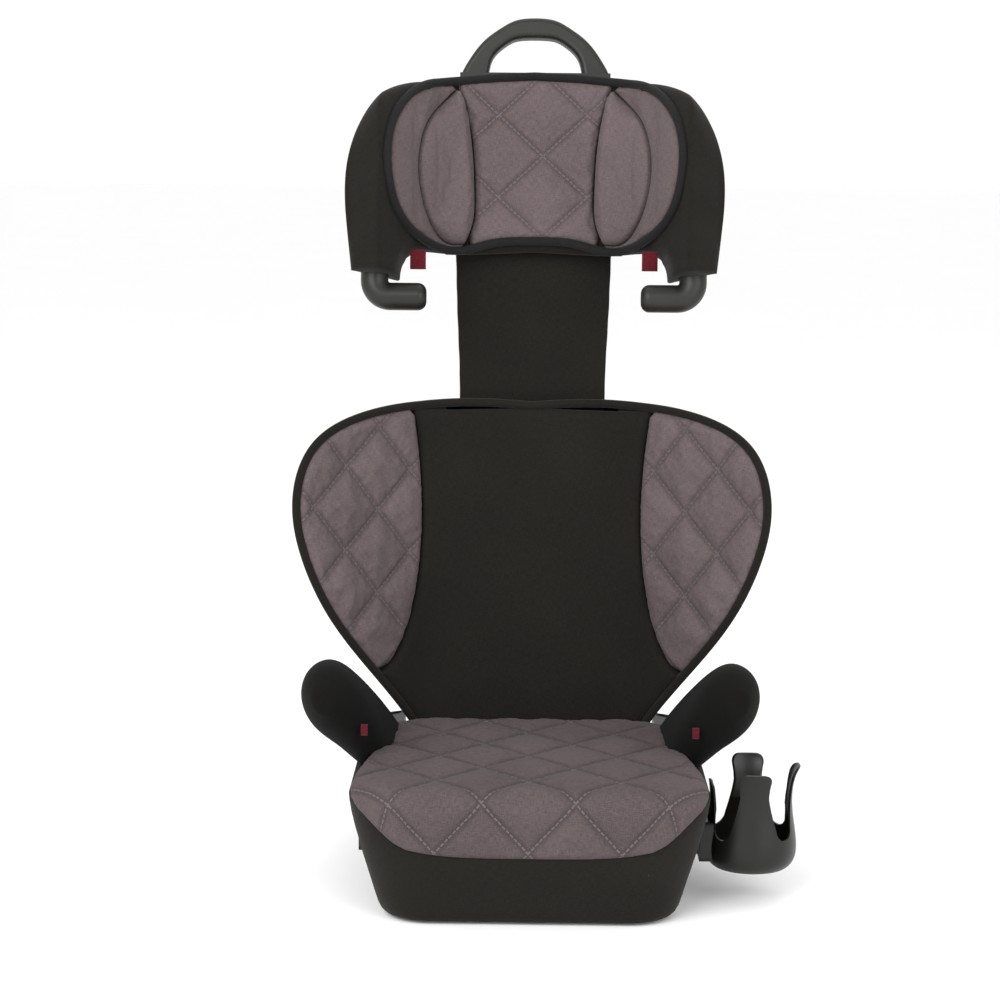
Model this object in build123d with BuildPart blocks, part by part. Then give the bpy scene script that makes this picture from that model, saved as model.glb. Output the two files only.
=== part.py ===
"""High-back child booster seat: hollow seat base with two belt horns, a winged backrest that
hinges on a steel rod at the rear of the base, a headrest on a stem that slides in the backrest,
and a clip-on cup holder.

Millimetres. X runs across the seat, +Y to the rear and +Z up. The origin is on the floor under
the centre of the base. The backrest and headrest are drawn in their own leaning frame:
x across, u up along the back and w rearward, measured from the hinge rod's axis.
"""

import os
from math import cos, radians, sin, tan

from build123d import *

os.makedirs("parts", exist_ok=True)

# ---------------------------------------------------------------- driving dimensions
# Clearances and plastic walls
GAP = 0.3  # between layers that lie on one another
WALL = 3.5  # moulded plastic wall
FABRIC = 3.0  # foam-backed cover fabric

# Base
BASE_REAR = 184  # half depth of the base at its fullest
FOOT_HEIGHT = 2.5
BASE_SECTIONS = [  # height, half width, half depth, corner radius of the covered base
    (FOOT_HEIGHT, 128, 172, 40),
    (45, 143, 181, 46),
    (85, 153, BASE_REAR, 50),
    (106, 157, BASE_REAR, 52),
]
BASE_TOP = BASE_SECTIONS[-1][0]
POCKET_HALF = 122  # half width of the rear pocket that the backrest stands in
POCKET_FRONT = 96
POCKET_FLOOR = 20

# Seat pad
PAD_REAR = 90
PAD_TOP = 121
PAD_EDGE = 12  # rounding of the pad's upper edge
PAD_SIDE = 141  # the pad ends here where the horns stand
PAD_CORNERS = (52, 45)  # front and rear corner radius
LIP = [(0, 65), (83, 69), (115, 82), (131, 99), (138, 112)]  # lower edge of the seat fabric, x and z
TAG_FRONT = -78

# Horns (armrests): y, x, z, half thickness, half height, outward lean in degrees
HORN_SECTIONS = [
    (84, 127, 97, 8, 11, 20),
    (56, 135, 110, 12, 30, 22),
    (20, 146, 128, 15, 46, 24),
    (-20, 158, 146, 18, 52, 24),
    (-52, 169, 163, 21, 42, 24),
    (-78, 177, 173, 21, 31, 22),
    (-95, 180, 177, 14, 20, 20),
    (-103, 181, 179, 8, 12, 20),
]

# Back hinge
LEAN = 10.0
HINGE_Y = 150
HINGE_Z = 50
ROD_RADIUS = 5.0
ROD_RUNNING = 0.06
ROD_HALF_LENGTH = 133

# Backrest: w of the front surface, fold, wing angle and length
BACK_FRONT = -48
BACK_FOLD = 96
BACK_WING_ANGLE = 43
BACK_WING_LENGTH = 176
BACK_FOLD_RADIUS = 60
BACK_PAD = 12
BACK_FOAM_REAR = 17
SHELL_FRONT = 17.4
SHELL_REAR = 22
SHELL_RIM = 34
BACK_TOP = 364
SHOULDER = [  # x, u of the outline from the lower corner round the wing to the shoulder
    (113, 52),
    (150, 102),
    (190, 158),
    (216, 222),
    (220, 272),
    (203, 318),
    (156, 350),
    (80, 366),
]
LEAF_BOTTOM = 14
LEAF_BOTTOM_HALF = 94

# Stem channel
CHANNEL_HALF = 84
CHANNEL_WALL = 5
CHANNEL_REAR = -7.5
CHANNEL_BOTTOM = 130
STEM_HALF = 69
STEM_BOTTOM = 250
STEM_FRONT = -24
STEM_REAR = -13
NECK_SKIN = 2.2

# Headrest
HEAD_FRONT = -55
HEAD_FOLD = 82
HEAD_WING_ANGLE = 60
HEAD_WING_LENGTH = 122
HEAD_FOLD_RADIUS = 45
HEAD_TOP = 682
HEAD_LINING = 8
HEAD_FOAM_REAR = 24
HEAD_SHELL_FRONT = 24.4
HEAD_SHELL_REAR = 30.4
HEAD_SLEEVE_FRONT = 36.8
HEAD_SLEEVE_REAR = 40
HEAD_REAR_OPENING = 78  # half width left bare behind the headrest
CUFF_BOTTOM = 482
HEAD_BASE = 440  # below everything on the headrest but its stem

# Hooks that guide the shoulder belt
HOOK_X = 150
HOOK_W = -119
HOOK_RADIUS = 13
HOOK_LEVEL = 457
HOOK_TIP = 101

# Handle
HANDLE_TOP = 745
HANDLE_THICK = 20

# Height lock
LOCK_STEP = 30
LOCK_POSITIONS = 4
LOCK_LEVEL = 290
LOCK_TRAVEL = 8
RAIL_THICK = 2

# Cup holder
SOCKET_FACE = 150.5
SOCKET_Z = 58
SOCKET_WIDE = 30
SOCKET_HIGH = 18
CUP_X = 197
CUP_Y = -80
CUP_BOTTOM = 30
CUP_RING = 29
CUP_HEIGHT = 91
CUP_RADIUS = 40.5
CUP_WALL = 2.4

# ---------------------------------------------------------------- frames
lean_sin = sin(radians(LEAN))
lean_cos = cos(radians(LEAN))
hinge = (0, HINGE_Y, HINGE_Z)
back_face = Plane(origin=hinge, x_dir=(1, 0, 0), z_dir=(0, -lean_cos, lean_sin))  # x, u, out of the front
back_plan = Plane(origin=hinge, x_dir=(1, 0, 0), z_dir=(0, lean_sin, lean_cos))  # x, w, up the back
back_side = Plane(origin=hinge, x_dir=(0, lean_cos, -lean_sin), z_dir=(1, 0, 0))  # w, u, across


def save(part, name):
    """Label a finished piece and write it as its own STEP file."""
    part.label = name
    export_step(part, f"parts/{name}.step")
    print(f"{name:28s} {len(part.solids()):2d} solids {part.volume / 1000:8.1f} cm3")


def in_back(x, u, w):
    """A point of the leaning frame as a place in the seat's own frame."""
    return back_face.from_local_coords((x, u, -w))


# ---------------------------------------------------------------- shared shapes
def base_block(inset, bottom=None, top=None):
    """The tulip-shaped base drawn in from its covered outline, between two heights."""
    with BuildPart() as block:
        for height, half_width, half_depth, corner in BASE_SECTIONS:
            with BuildSketch(Plane.XY.offset(height)):
                RectangleRounded(2 * (half_width - inset), 2 * (half_depth - inset), corner - inset)
        loft()
        if top is not None:
            split(bisect_by=Plane.XY.offset(top), keep=Keep.BOTTOM)
        if bottom is not None:
            split(bisect_by=Plane.XY.offset(bottom), keep=Keep.TOP)
    return block.part


def horn(side, grow):
    """One horn as a loft through leaning ovals, grown outward by a given amount."""
    nose = HORN_SECTIONS[-1][0]
    with BuildPart() as body:
        for y, x, z, half_thick, half_high, lean in HORN_SECTIONS:
            ahead = max(grow, 0) if y == nose else 0
            with BuildSketch(Plane.XZ.offset(ahead - y)):
                with Locations((side * x, z)):
                    Ellipse(half_thick + grow, half_high + grow, rotation=-side * lean)
        loft()
    return body.part


def redrawn(edge):
    """An edge as it is, or as a plain spline where it was made by an offset."""
    if edge.geom_type != GeomType.OFFSET:
        return edge
    count = max(8, int(edge.length / 14))
    points = [edge.position_at(i / count) for i in range(count + 1)]
    return Edge.make_spline(points)


def inset_face(edges, inset):
    """Face inside an outline, drawn in by an amount."""
    if not inset:
        make_face(edges)
        return
    whole = make_face(edges, mode=Mode.PRIVATE)
    inner = offset(whole, amount=-inset, kind=Kind.INTERSECTION, mode=Mode.PRIVATE)
    make_face([redrawn(edge) for edge in inner.edges()])


def fold_points(front, fold, angle, length, depth):
    """Corner points of a winged section, a given depth behind its front surface."""
    bend = radians(angle)
    fold_x = fold + depth * tan(bend / 2)
    end_x = fold + length * cos(bend) + depth * sin(bend)
    end_w = front - length * sin(bend) + depth * cos(bend)
    return [(-end_x, end_w), (-fold_x, front + depth), (fold_x, front + depth), (end_x, end_w)]


def winged_band(front, fold, angle, length, radius, near, far):
    """Face between two depths of a winged section, for a sketch in the plan of the back."""
    with BuildLine() as outline:
        inner = FilletPolyline(*fold_points(front, fold, angle, length, near), radius=radius + near)
        outer = FilletPolyline(*fold_points(front, fold, angle, length, far), radius=radius + far)
        Line(inner @ 0, outer @ 0)
        Line(inner @ 1, outer @ 1)
    make_face(outline.edges())


def back_band(near, far):
    """A layer of the backrest's winged section."""
    winged_band(BACK_FRONT, BACK_FOLD, BACK_WING_ANGLE, BACK_WING_LENGTH, BACK_FOLD_RADIUS, near, far)


def head_band(near, far, shorter=0):
    """A layer of the headrest's winged section."""
    length = HEAD_WING_LENGTH - shorter
    winged_band(HEAD_FRONT, HEAD_FOLD, HEAD_WING_ANGLE, length, HEAD_FOLD_RADIUS, near, far)


def leaf_outline(inset=0):
    """Front outline of the backrest: narrow at the hinge, widest at the shoulders."""
    with BuildLine() as outline:
        Line((0, LEAF_BOTTOM), (LEAF_BOTTOM_HALF, LEAF_BOTTOM))
        Spline((LEAF_BOTTOM_HALF, LEAF_BOTTOM), *SHOULDER, (0, BACK_TOP), tangents=[(0.35, 1), (-1, 0)])
        mirror(about=Plane.YZ)
    inset_face(outline.edges(), inset)


def seam_strip(shift=0.0):
    """Front outline of the centre panel, between the two curved wing seams."""
    with BuildLine() as outline:
        right = ThreePointArc((131 + shift, 60), (103 + shift, 235), (124 + shift, 400))
        left = ThreePointArc((-131 - shift, 60), (-103 - shift, 235), (-124 - shift, 400))
        Line(left @ 1, right @ 1)
        Polyline(right @ 0, (131 + shift, 0), (-131 - shift, 0), left @ 0)
    make_face(outline.edges())


REACH = 230  # more than the wings' depth, for outlines cut through the whole back


def through_outline(shape, mode, *args):
    """Run a front outline through the whole depth of the back."""
    with BuildSketch(back_face.offset(-REACH / 2)) as front:
        shape(*args)
    extrude(front.sketch, amount=2 * REACH, mode=mode)


def headrest_outline(inset=0):
    """Front outline of the headrest with its two drooping side arms."""
    with BuildLine() as outline:
        side = Spline((0, HEAD_TOP), (80, 675), (122, 664), (158, 630), (176, 572), (174, 520), (168, CUFF_BOTTOM),
                      tangents=[(1, 0), (-0.25, -1)])
        FilletPolyline(side @ 1, (128, CUFF_BOTTOM), (120, 507), (72, 508), (0, 516), radius=9)
        mirror(about=Plane.YZ)
    inset_face(outline.edges(), inset)


def lining_outline(inset=0):
    """Front outline of the headrest's inner lining."""
    with BuildLine() as outline:
        Spline((0, 678), (70, 673), (106, 660), (130, 625), (136, 580), (125, 534), (102, 515), (74, 510), (0, 522),
               tangents=[(1, 0), (-1, 0)])
        mirror(about=Plane.YZ)
    inset_face(outline.edges(), inset)


def head_centre_outline(shift=0.0):
    """Front outline of the headrest's centre panel."""
    with BuildLine() as outline:
        right = ThreePointArc((82 + shift, 700), (68 + shift, 590), (76 + shift, 500))
        left = ThreePointArc((-82 - shift, 700), (-68 - shift, 590), (-76 - shift, 500))
        Line(left @ 0, right @ 0)
        Line(left @ 1, right @ 1)
    make_face(outline.edges())


def bolster_outline(side, grow=0.0):
    """Lens-shaped front outline of one headrest bolster."""
    with BuildLine() as outline:
        inner = ThreePointArc((side * 77, 664 + grow), (side * (60 - grow), 590), (side * 74, 520 - grow))
        ThreePointArc(inner @ 1, (side * (116 + grow), 590), inner @ 0)
    make_face(outline.edges())


def side_strip(inner, side):
    """Everything beyond a distance from the middle, on one side, as a front outline."""
    with Locations((side * (inner + REACH / 2), 400)):
        Rectangle(REACH, 800)


def back_layer(near, far, *cuts):
    """A layer of the backrest between two depths, kept inside front outlines."""
    with BuildPart() as layer:
        with BuildSketch(back_plan):
            back_band(near, far)
        extrude(amount=BACK_TOP + 40)
        for cut in cuts:
            through_outline(cut[0], Mode.INTERSECT, *cut[1:])
    return layer.part


def head_layer(near, far, *cuts, shorter=0):
    """A layer of the headrest between two depths, kept inside front outlines."""
    with BuildPart() as layer:
        with BuildSketch(back_plan.offset(HEAD_BASE)):
            head_band(near, far, shorter)
        extrude(amount=HEAD_TOP - HEAD_BASE + 20)
        for cut in cuts:
            through_outline(cut[0], Mode.INTERSECT, *cut[1:])
    return layer.part


def back_box(half_width, bottom, top, front, rear, centre=0):
    """A block in the leaning frame."""
    with BuildPart() as block:
        with BuildSketch(back_plan.offset(bottom)):
            with Locations((centre, front)):
                Rectangle(2 * half_width, rear - front, align=(Align.CENTER, Align.MIN))
        extrude(amount=top - bottom)
    return block.part


def back_rods(places, radius, front, rear):
    """Round rods along the depth of the back, at front-view places."""
    with BuildPart() as rods:
        with BuildSketch(back_face.offset(-rear)):
            with Locations(*places):
                Circle(radius)
        extrude(amount=rear - front)
    return rods.part


# ---------------------------------------------------------------- base
core_outline = FABRIC + GAP  # the shell stands this far inside the covered outline
cavity_outline = core_outline + WALL
seat_deck = BASE_TOP - GAP - WALL
pan_top = FOOT_HEIGHT + WALL
pan_screw_places = [(x, y) for x in (-96, 96) for y in (-148, -40, 66)]
foot_places = [(x, y) for x in (-88, 88) for y in (-112, 130)] + [(0, 0)]


def pocket_block(grow, floor):
    """Space behind the seat that the foot of the backrest stands in, open to the rear."""
    with BuildPart() as block:
        with BuildSketch(Plane.XY.offset(floor)):
            with Locations((0, POCKET_FRONT - grow)):
                Rectangle(2 * (POCKET_HALF + grow), 120, align=(Align.CENTER, Align.MIN))
        extrude(amount=BASE_TOP)
    return block.part


def side_block(side, grow, depth):
    """Rectangular block let into the base's side for the cup holder's tongue."""
    with BuildPart() as block:
        with BuildSketch(Plane.YZ.offset(side * SOCKET_FACE)):
            with Locations((CUP_Y, SOCKET_Z)):
                Rectangle(SOCKET_WIDE + 2 * grow, SOCKET_HIGH + 2 * grow)
        extrude(amount=-side * depth)
    return block.part


def rod_along_x(radius, half_length):
    """Round bar on the hinge axis."""
    with BuildPart() as bar:
        with BuildSketch(Plane.YZ.offset(-half_length)):
            with Locations((HINGE_Y, HINGE_Z)):
                Circle(radius)
        extrude(amount=2 * half_length)
    return bar.part


with BuildPart() as pocket_walls:
    add(base_block(core_outline, bottom=FOOT_HEIGHT, top=BASE_TOP - GAP))
    add(pocket_block(WALL, POCKET_FLOOR - WALL), mode=Mode.INTERSECT)
    add(pocket_block(0, POCKET_FLOOR), mode=Mode.SUBTRACT)

with BuildPart() as rod_bosses:
    add(rod_along_x(ROD_RADIUS + 5, ROD_HALF_LENGTH + 2))
    add(base_block(core_outline), mode=Mode.INTERSECT)
    add(pocket_block(0, POCKET_FLOOR), mode=Mode.SUBTRACT)

with BuildPart() as base_shell:
    add(base_block(core_outline, bottom=FOOT_HEIGHT, top=BASE_TOP - GAP))
    for side in (-1, 1):
        add(horn(side, 0))
    add(base_block(cavity_outline, top=seat_deck), mode=Mode.SUBTRACT)
    for side in (-1, 1):
        add(horn(side, -WALL), mode=Mode.SUBTRACT)
    add(pocket_block(0, POCKET_FLOOR), mode=Mode.SUBTRACT)
    add(pocket_walls.part)
    add(rod_bosses.part)
    with BuildSketch(Plane.XY.offset(pan_top)):
        with Locations(*pan_screw_places):
            Circle(5)
    extrude(amount=seat_deck - pan_top + 0.5)
    with BuildSketch(Plane.XY.offset(pan_top)):
        with Locations(*pan_screw_places):
            Circle(1.75)
    extrude(amount=14, mode=Mode.SUBTRACT)
    for side in (-1, 1):
        add(side_block(side, 1.5 + GAP, 24), mode=Mode.SUBTRACT)
    add(rod_along_x(ROD_RADIUS + ROD_RUNNING, ROD_HALF_LENGTH + 0.5), mode=Mode.SUBTRACT)
save(base_shell.part, "base_shell")

with BuildPart() as base_pan:
    add(base_block(cavity_outline + GAP, bottom=FOOT_HEIGHT, top=pan_top - GAP))
    with BuildSketch(Plane.XY):
        with Locations(*pan_screw_places):
            Circle(2)
    extrude(amount=10, mode=Mode.SUBTRACT)
save(base_pan.part, "base_pan")

with BuildPart() as pan_screws:
    with BuildSketch(Plane.XY.offset(FOOT_HEIGHT - 1.8)):
        with Locations(*pan_screw_places):
            Circle(3.6)
    extrude(amount=1.7)
    with BuildSketch(Plane.XY.offset(FOOT_HEIGHT - 0.2)):
        with Locations(*pan_screw_places):
            Circle(1.65)
    extrude(amount=16)
save(pan_screws.part, "pan_screws")

with BuildPart() as base_feet:
    with BuildSketch(Plane.XY):
        with Locations(*foot_places):
            Circle(13)
    extrude(amount=FOOT_HEIGHT - 0.02)
    fillet(base_feet.edges().group_by(Axis.Z)[0], 1)
save(base_feet.part, "base_feet")


# ---------------------------------------------------------------- seat pad and fabric
def pad_block(inset, top, edge):
    """The seat cushion: a slab with rounded corners and a rounded upper edge."""
    front_corner, rear_corner = PAD_CORNERS
    half_width = BASE_SECTIONS[-1][1] - inset
    with BuildPart() as block:
        with BuildSketch(Plane.XY.offset(BASE_TOP + GAP / 2)):
            with Locations((0, -BASE_REAR + inset)):
                Rectangle(2 * half_width, BASE_REAR + PAD_REAR - 2 * inset, align=(Align.CENTER, Align.MIN))
        extrude(amount=top - BASE_TOP)
        uprights = block.edges().filter_by(Axis.Z).sort_by(Axis.Y)
        fillet(uprights[:2], front_corner - inset)
        uprights = block.edges().filter_by(Axis.Z).sort_by(Axis.Y)
        fillet(uprights[-2:], rear_corner - inset)
        fillet(block.faces().sort_by(Axis.Z)[-1].edges(), edge)
    return block.part


def lip_block(grow):
    """Front part of the base that the seat fabric folds down over."""
    points = [(x + grow, z - grow) for x, z in LIP]
    points[0] = (0, LIP[0][1] - grow)
    with BuildPart() as block:
        with BuildSketch(Plane.XZ.offset(100)) as front:
            with BuildLine():
                Spline(*points, tangents=[(1, 0), (0.2, 1)])
                Line(points[-1], (0, points[-1][1]))
                mirror(about=Plane.YZ)
            make_face()
        extrude(amount=BASE_REAR)
    return block.part


def horn_space(side):
    """Room that the pad leaves for one covered horn and everything outside it."""
    with BuildPart() as space:
        add(horn(side, FABRIC + 2 * GAP))
        with BuildSketch(Plane.XY.offset(BASE_TOP + GAP / 2)):
            with Locations((side * (PAD_SIDE + 20), (PAD_REAR - 66) / 2)):
                Rectangle(40, PAD_REAR + 66)
        extrude(amount=30)
    return space.part


horn_room = [horn_space(side) for side in (-1, 1)]

with BuildPart() as seat_foam:
    add(pad_block(FABRIC + 2 * GAP, PAD_TOP - FABRIC - GAP, PAD_EDGE - FABRIC))
    for room in horn_room:
        add(room, mode=Mode.SUBTRACT)
save(seat_foam.part, "seat_foam")

with BuildPart() as seat_cover_panel:
    add(pad_block(0, PAD_TOP, PAD_EDGE))
    add(pad_block(FABRIC, PAD_TOP - FABRIC, PAD_EDGE - FABRIC), mode=Mode.SUBTRACT)
    for room in horn_room:
        add(room, mode=Mode.SUBTRACT)
save(seat_cover_panel.part, "seat_cover_panel")

with BuildPart() as seat_cover_front:
    add(base_block(0, top=BASE_TOP - GAP))
    add(base_block(FABRIC), mode=Mode.SUBTRACT)
    add(lip_block(0), mode=Mode.INTERSECT)
save(seat_cover_front.part, "seat_cover_front")

with BuildPart() as seat_cover_skirt:
    add(base_block(0, bottom=FOOT_HEIGHT, top=BASE_TOP - GAP))
    add(base_block(FABRIC), mode=Mode.SUBTRACT)
    add(pocket_block(WALL + GAP, POCKET_FLOOR - WALL - GAP), mode=Mode.SUBTRACT)
    add(lip_block(GAP), mode=Mode.SUBTRACT)
    for room in horn_room:
        add(room, mode=Mode.SUBTRACT)
    for side in (-1, 1):
        add(side_block(side, 6, 30), mode=Mode.SUBTRACT)
save(seat_cover_skirt.part, "seat_cover_skirt")

for side, word in ((-1, "left"), (1, "right")):
    with BuildPart() as horn_cover:
        add(horn(side, FABRIC + GAP))
        add(horn(side, GAP), mode=Mode.SUBTRACT)
        with BuildSketch(Plane.XY):
            Rectangle(600, 600)
        extrude(amount=BASE_TOP + GAP, mode=Mode.SUBTRACT)
    save(horn_cover.part, f"horn_cover_{word}")

    with BuildPart() as lap_tag:
        with BuildSketch(Plane.XZ.offset(-TAG_FRONT)):
            with Locations((side * 147, 146)):
                RectangleRounded(10, 14, 1)
        extrude(amount=1.2)
    save(lap_tag.part, f"lap_belt_tag_{word}")

    with BuildPart() as socket:
        add(side_block(side, 1.5, 22))
        with BuildSketch(Plane.YZ.offset(side * SOCKET_FACE)):
            with Locations((CUP_Y, SOCKET_Z)):
                RectangleRounded(SOCKET_WIDE + 11, SOCKET_HIGH + 11, 4)
        extrude(amount=-side * 3.4)
        add(side_block(side, 0, 20), mode=Mode.SUBTRACT)
    save(socket.part, f"cup_socket_{word}")

# ---------------------------------------------------------------- hinge rod
with BuildPart() as hinge_rod:
    add(rod_along_x(ROD_RADIUS, ROD_HALF_LENGTH))
    chamfer(hinge_rod.edges().filter_by(GeomType.CIRCLE), 0.6)
save(hinge_rod.part, "hinge_rod")

# ---------------------------------------------------------------- cup holder
SLOT_RADIUS = 9.5
SLOT_NECK = (15.5, 30)  # half width of a slot, and its height above the slot's rounded foot
SLOT_TOP_HALF = 17
PETAL_CORNER = 9
SEAT_PETAL_TOP = 106  # the petal beside the seat ends below the flare
cup_top = CUP_BOTTOM + CUP_HEIGHT
cup_ring_top = CUP_BOTTOM + CUP_RING
cup_profile = [(33, 0), (38, 5), (40.5, 26), (37.2, 50), (37.4, 74), (43, CUP_HEIGHT)]  # radius, height
cup_plane = Plane(origin=(CUP_X, CUP_Y, CUP_BOTTOM), x_dir=(1, 0, 0), z_dir=(0, -1, 0))

with BuildPart() as cup_holder:
    with BuildSketch(cup_plane):
        with BuildLine():
            outside = Spline(*cup_profile)
            inside = Spline(*[(r - CUP_WALL, z) for r, z in cup_profile[1:]])
            Polyline(outside @ 0, (0, 0), (0, CUP_WALL), (30, CUP_WALL), inside @ 0)
            Line(inside @ 1, outside @ 1)
        make_face()
    revolve(axis=Axis((CUP_X, CUP_Y, 0), (0, 0, 1)))
    # rounded slots between the four petals
    for angle in (-135, -45, 45, 135):
        radial = (cos(radians(angle)), sin(radians(angle)), 0)
        slot_plane = Plane(origin=(CUP_X, CUP_Y, cup_ring_top + SLOT_RADIUS), x_dir=(-radial[1], radial[0], 0),
                           z_dir=radial)
        with BuildSketch(slot_plane):
            Circle(SLOT_RADIUS)
            with BuildLine():
                Polyline((-SLOT_RADIUS, 0), (SLOT_RADIUS, 0), SLOT_NECK, (SLOT_TOP_HALF, CUP_HEIGHT),
                         (-SLOT_TOP_HALF, CUP_HEIGHT), (-SLOT_NECK[0], SLOT_NECK[1]), close=True)
            make_face()
        extrude(amount=60, mode=Mode.SUBTRACT)
    # the petal beside the seat is shorter
    with BuildSketch(Plane(origin=(CUP_X, CUP_Y, SEAT_PETAL_TOP + 20), x_dir=(0, 1, 0), z_dir=(-1, 0, 0))):
        Rectangle(60, 40)
    extrude(amount=60, mode=Mode.SUBTRACT)
    # rounded corners of the petals' rims
    short_edges = cup_holder.edges().filter_by(lambda e: 1.5 < e.length < 5)
    fillet(short_edges.filter_by(lambda e: e.center().Z > cup_top - 2), PETAL_CORNER)
    seat_corners = cup_holder.edges().filter_by(lambda e: e.length < 3 and e.center().X < SOCKET_FACE + 15)
    fillet(seat_corners.filter_by(lambda e: abs(e.center().Z - SEAT_PETAL_TOP) < 0.5), 6)
    # bracket and tongue
    with BuildSketch(Plane.YZ.offset(SOCKET_FACE + 0.4)):
        with Locations((CUP_Y, SOCKET_Z - 4)):
            RectangleRounded(SOCKET_WIDE + 10, SOCKET_HIGH + 18, 5)
    extrude(amount=12)
    with BuildSketch(Plane(origin=(CUP_X, CUP_Y, CUP_BOTTOM))):
        Circle(38.5)
    extrude(amount=120, mode=Mode.PRIVATE)
    with BuildSketch(Plane.YZ.offset(SOCKET_FACE + 1)):
        with Locations((CUP_Y, SOCKET_Z)):
            Rectangle(SOCKET_WIDE - 0.8, SOCKET_HIGH - 0.8)
    extrude(amount=-19.5)
    # the cup's own space
    with BuildSketch(Plane.XY.offset(CUP_BOTTOM + CUP_WALL)):
        with Locations((CUP_X, CUP_Y)):
            Circle(33)
    with BuildSketch(Plane.XY.offset(CUP_BOTTOM + 26)):
        with Locations((CUP_X, CUP_Y)):
            Circle(40.5 - CUP_WALL)
    with BuildSketch(Plane.XY.offset(CUP_BOTTOM + 52)):
        with Locations((CUP_X, CUP_Y)):
            Circle(37.2 - CUP_WALL)
    loft(mode=Mode.SUBTRACT)
save(cup_holder.part, "cup_holder")

# ---------------------------------------------------------------- backrest
def rib_stripes():
    """Ribs behind the backrest, seen from the front."""
    with Locations(*[(0, u) for u in (48, 108, 168, 228, 288, 330)]):
        Rectangle(2 * REACH, 3)
    with Locations(*[(side * x, 200) for side in (-1, 1) for x in (128, 172)]):
        Rectangle(3, 400)


rear_depth = -BACK_FRONT  # depth at which w is zero
channel_outside = CHANNEL_HALF + CHANNEL_WALL
rear_wall = CHANNEL_REAR + CHANNEL_WALL
shell_front_w = BACK_FRONT + SHELL_FRONT
hook_places = [(side * 76, u) for side in (-1, 1) for u in (38, 62)]
rail_places = [(0, 186), (0, 314)]

with BuildPart() as back_shell:
    add(back_layer(SHELL_FRONT, SHELL_RIM, (leaf_outline, 5)))
    add(back_layer(SHELL_REAR, SHELL_RIM + 2, (leaf_outline, 9)), mode=Mode.SUBTRACT)
    add(back_layer(SHELL_REAR - 0.5, SHELL_RIM - 2, (leaf_outline, 6), (rib_stripes,)))
    add(back_box(channel_outside, CHANNEL_BOTTOM - CHANNEL_WALL, BACK_TOP - 8, shell_front_w, rear_wall))
    add(back_box(CHANNEL_HALF, CHANNEL_BOTTOM, BACK_TOP + 40, shell_front_w - 2, CHANNEL_REAR), mode=Mode.SUBTRACT)
    for side in (-1, 1):
        add(back_box(16.5, 10, 74, BACK_FRONT + SHELL_REAR + 0.1, 10, centre=side * 76), mode=Mode.SUBTRACT)
    # windows and holes
    for side in (-1, 1):
        add(back_box(20, 150, 210, CHANNEL_REAR - 2, rear_wall + 2, centre=side * 44), mode=Mode.SUBTRACT)
        add(back_box(20, 250, 310, CHANNEL_REAR - 2, rear_wall + 2, centre=side * 44), mode=Mode.SUBTRACT)
    add(back_rods(hook_places, 1.75, shell_front_w - 2, BACK_FRONT + SHELL_RIM), mode=Mode.SUBTRACT)
    add(back_rods(rail_places, 1.75, CHANNEL_REAR - 2, rear_wall + 2), mode=Mode.SUBTRACT)
save(back_shell.part, "back_shell")

with BuildPart() as wing_block:
    add(back_layer(2, BACK_PAD + GAP, (leaf_outline, 7)))
    through_outline(seam_strip, Mode.SUBTRACT, -1)

with BuildPart() as back_foam:
    add(back_layer(FABRIC + GAP, BACK_FOAM_REAR, (leaf_outline, FABRIC + 2 * GAP)))
    add(wing_block.part, mode=Mode.SUBTRACT)
save(back_foam.part, "back_foam")

with BuildPart() as back_cover_centre:
    add(back_layer(0, FABRIC, (leaf_outline, 7.4), (seam_strip, -0.2)))
save(back_cover_centre.part, "back_cover_centre")

for side, word in ((-1, "left"), (1, "right")):
    with BuildPart() as wing_pad:
        add(back_layer(0, BACK_PAD, (leaf_outline, 7.4), (side_strip, 60, side)))
        through_outline(seam_strip, Mode.SUBTRACT, 0.2)
    save(wing_pad.part, f"back_wing_pad_{word}")

with BuildPart() as back_cover_border:
    add(back_layer(-1, SHELL_RIM + 3.6, (leaf_outline, 0)))
    add(back_layer(-3, FABRIC, (leaf_outline, 7)), mode=Mode.SUBTRACT)
    add(back_layer(FABRIC - 0.5, SHELL_RIM + 1, (leaf_outline, FABRIC + GAP)), mode=Mode.SUBTRACT)
    add(back_layer(SHELL_RIM - 1, SHELL_RIM + 6, (leaf_outline, 18)), mode=Mode.SUBTRACT)
    add(back_box(CHANNEL_HALF + 8, 320, BACK_TOP + 20, BACK_FRONT - 4, 20), mode=Mode.SUBTRACT)
    for side in (-1, 1):
        add(back_box(17, 0, 40, BACK_FRONT + SHELL_REAR - 1, 10, centre=side * 76), mode=Mode.SUBTRACT)
save(back_cover_border.part, "back_cover_border")

with BuildPart() as mouth_binding:
    add(back_layer(-1.4, 9, (leaf_outline, 0)))
    add(back_layer(-3, 12, (leaf_outline, 7)), mode=Mode.SUBTRACT)
    add(back_layer(FABRIC, 12, (leaf_outline, FABRIC + GAP)), mode=Mode.SUBTRACT)
    add(back_box(CHANNEL_HALF + 7.6, 320, BACK_TOP + 20, BACK_FRONT - 4, 20), mode=Mode.INTERSECT)
save(mouth_binding.part, "back_mouth_binding")

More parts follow.
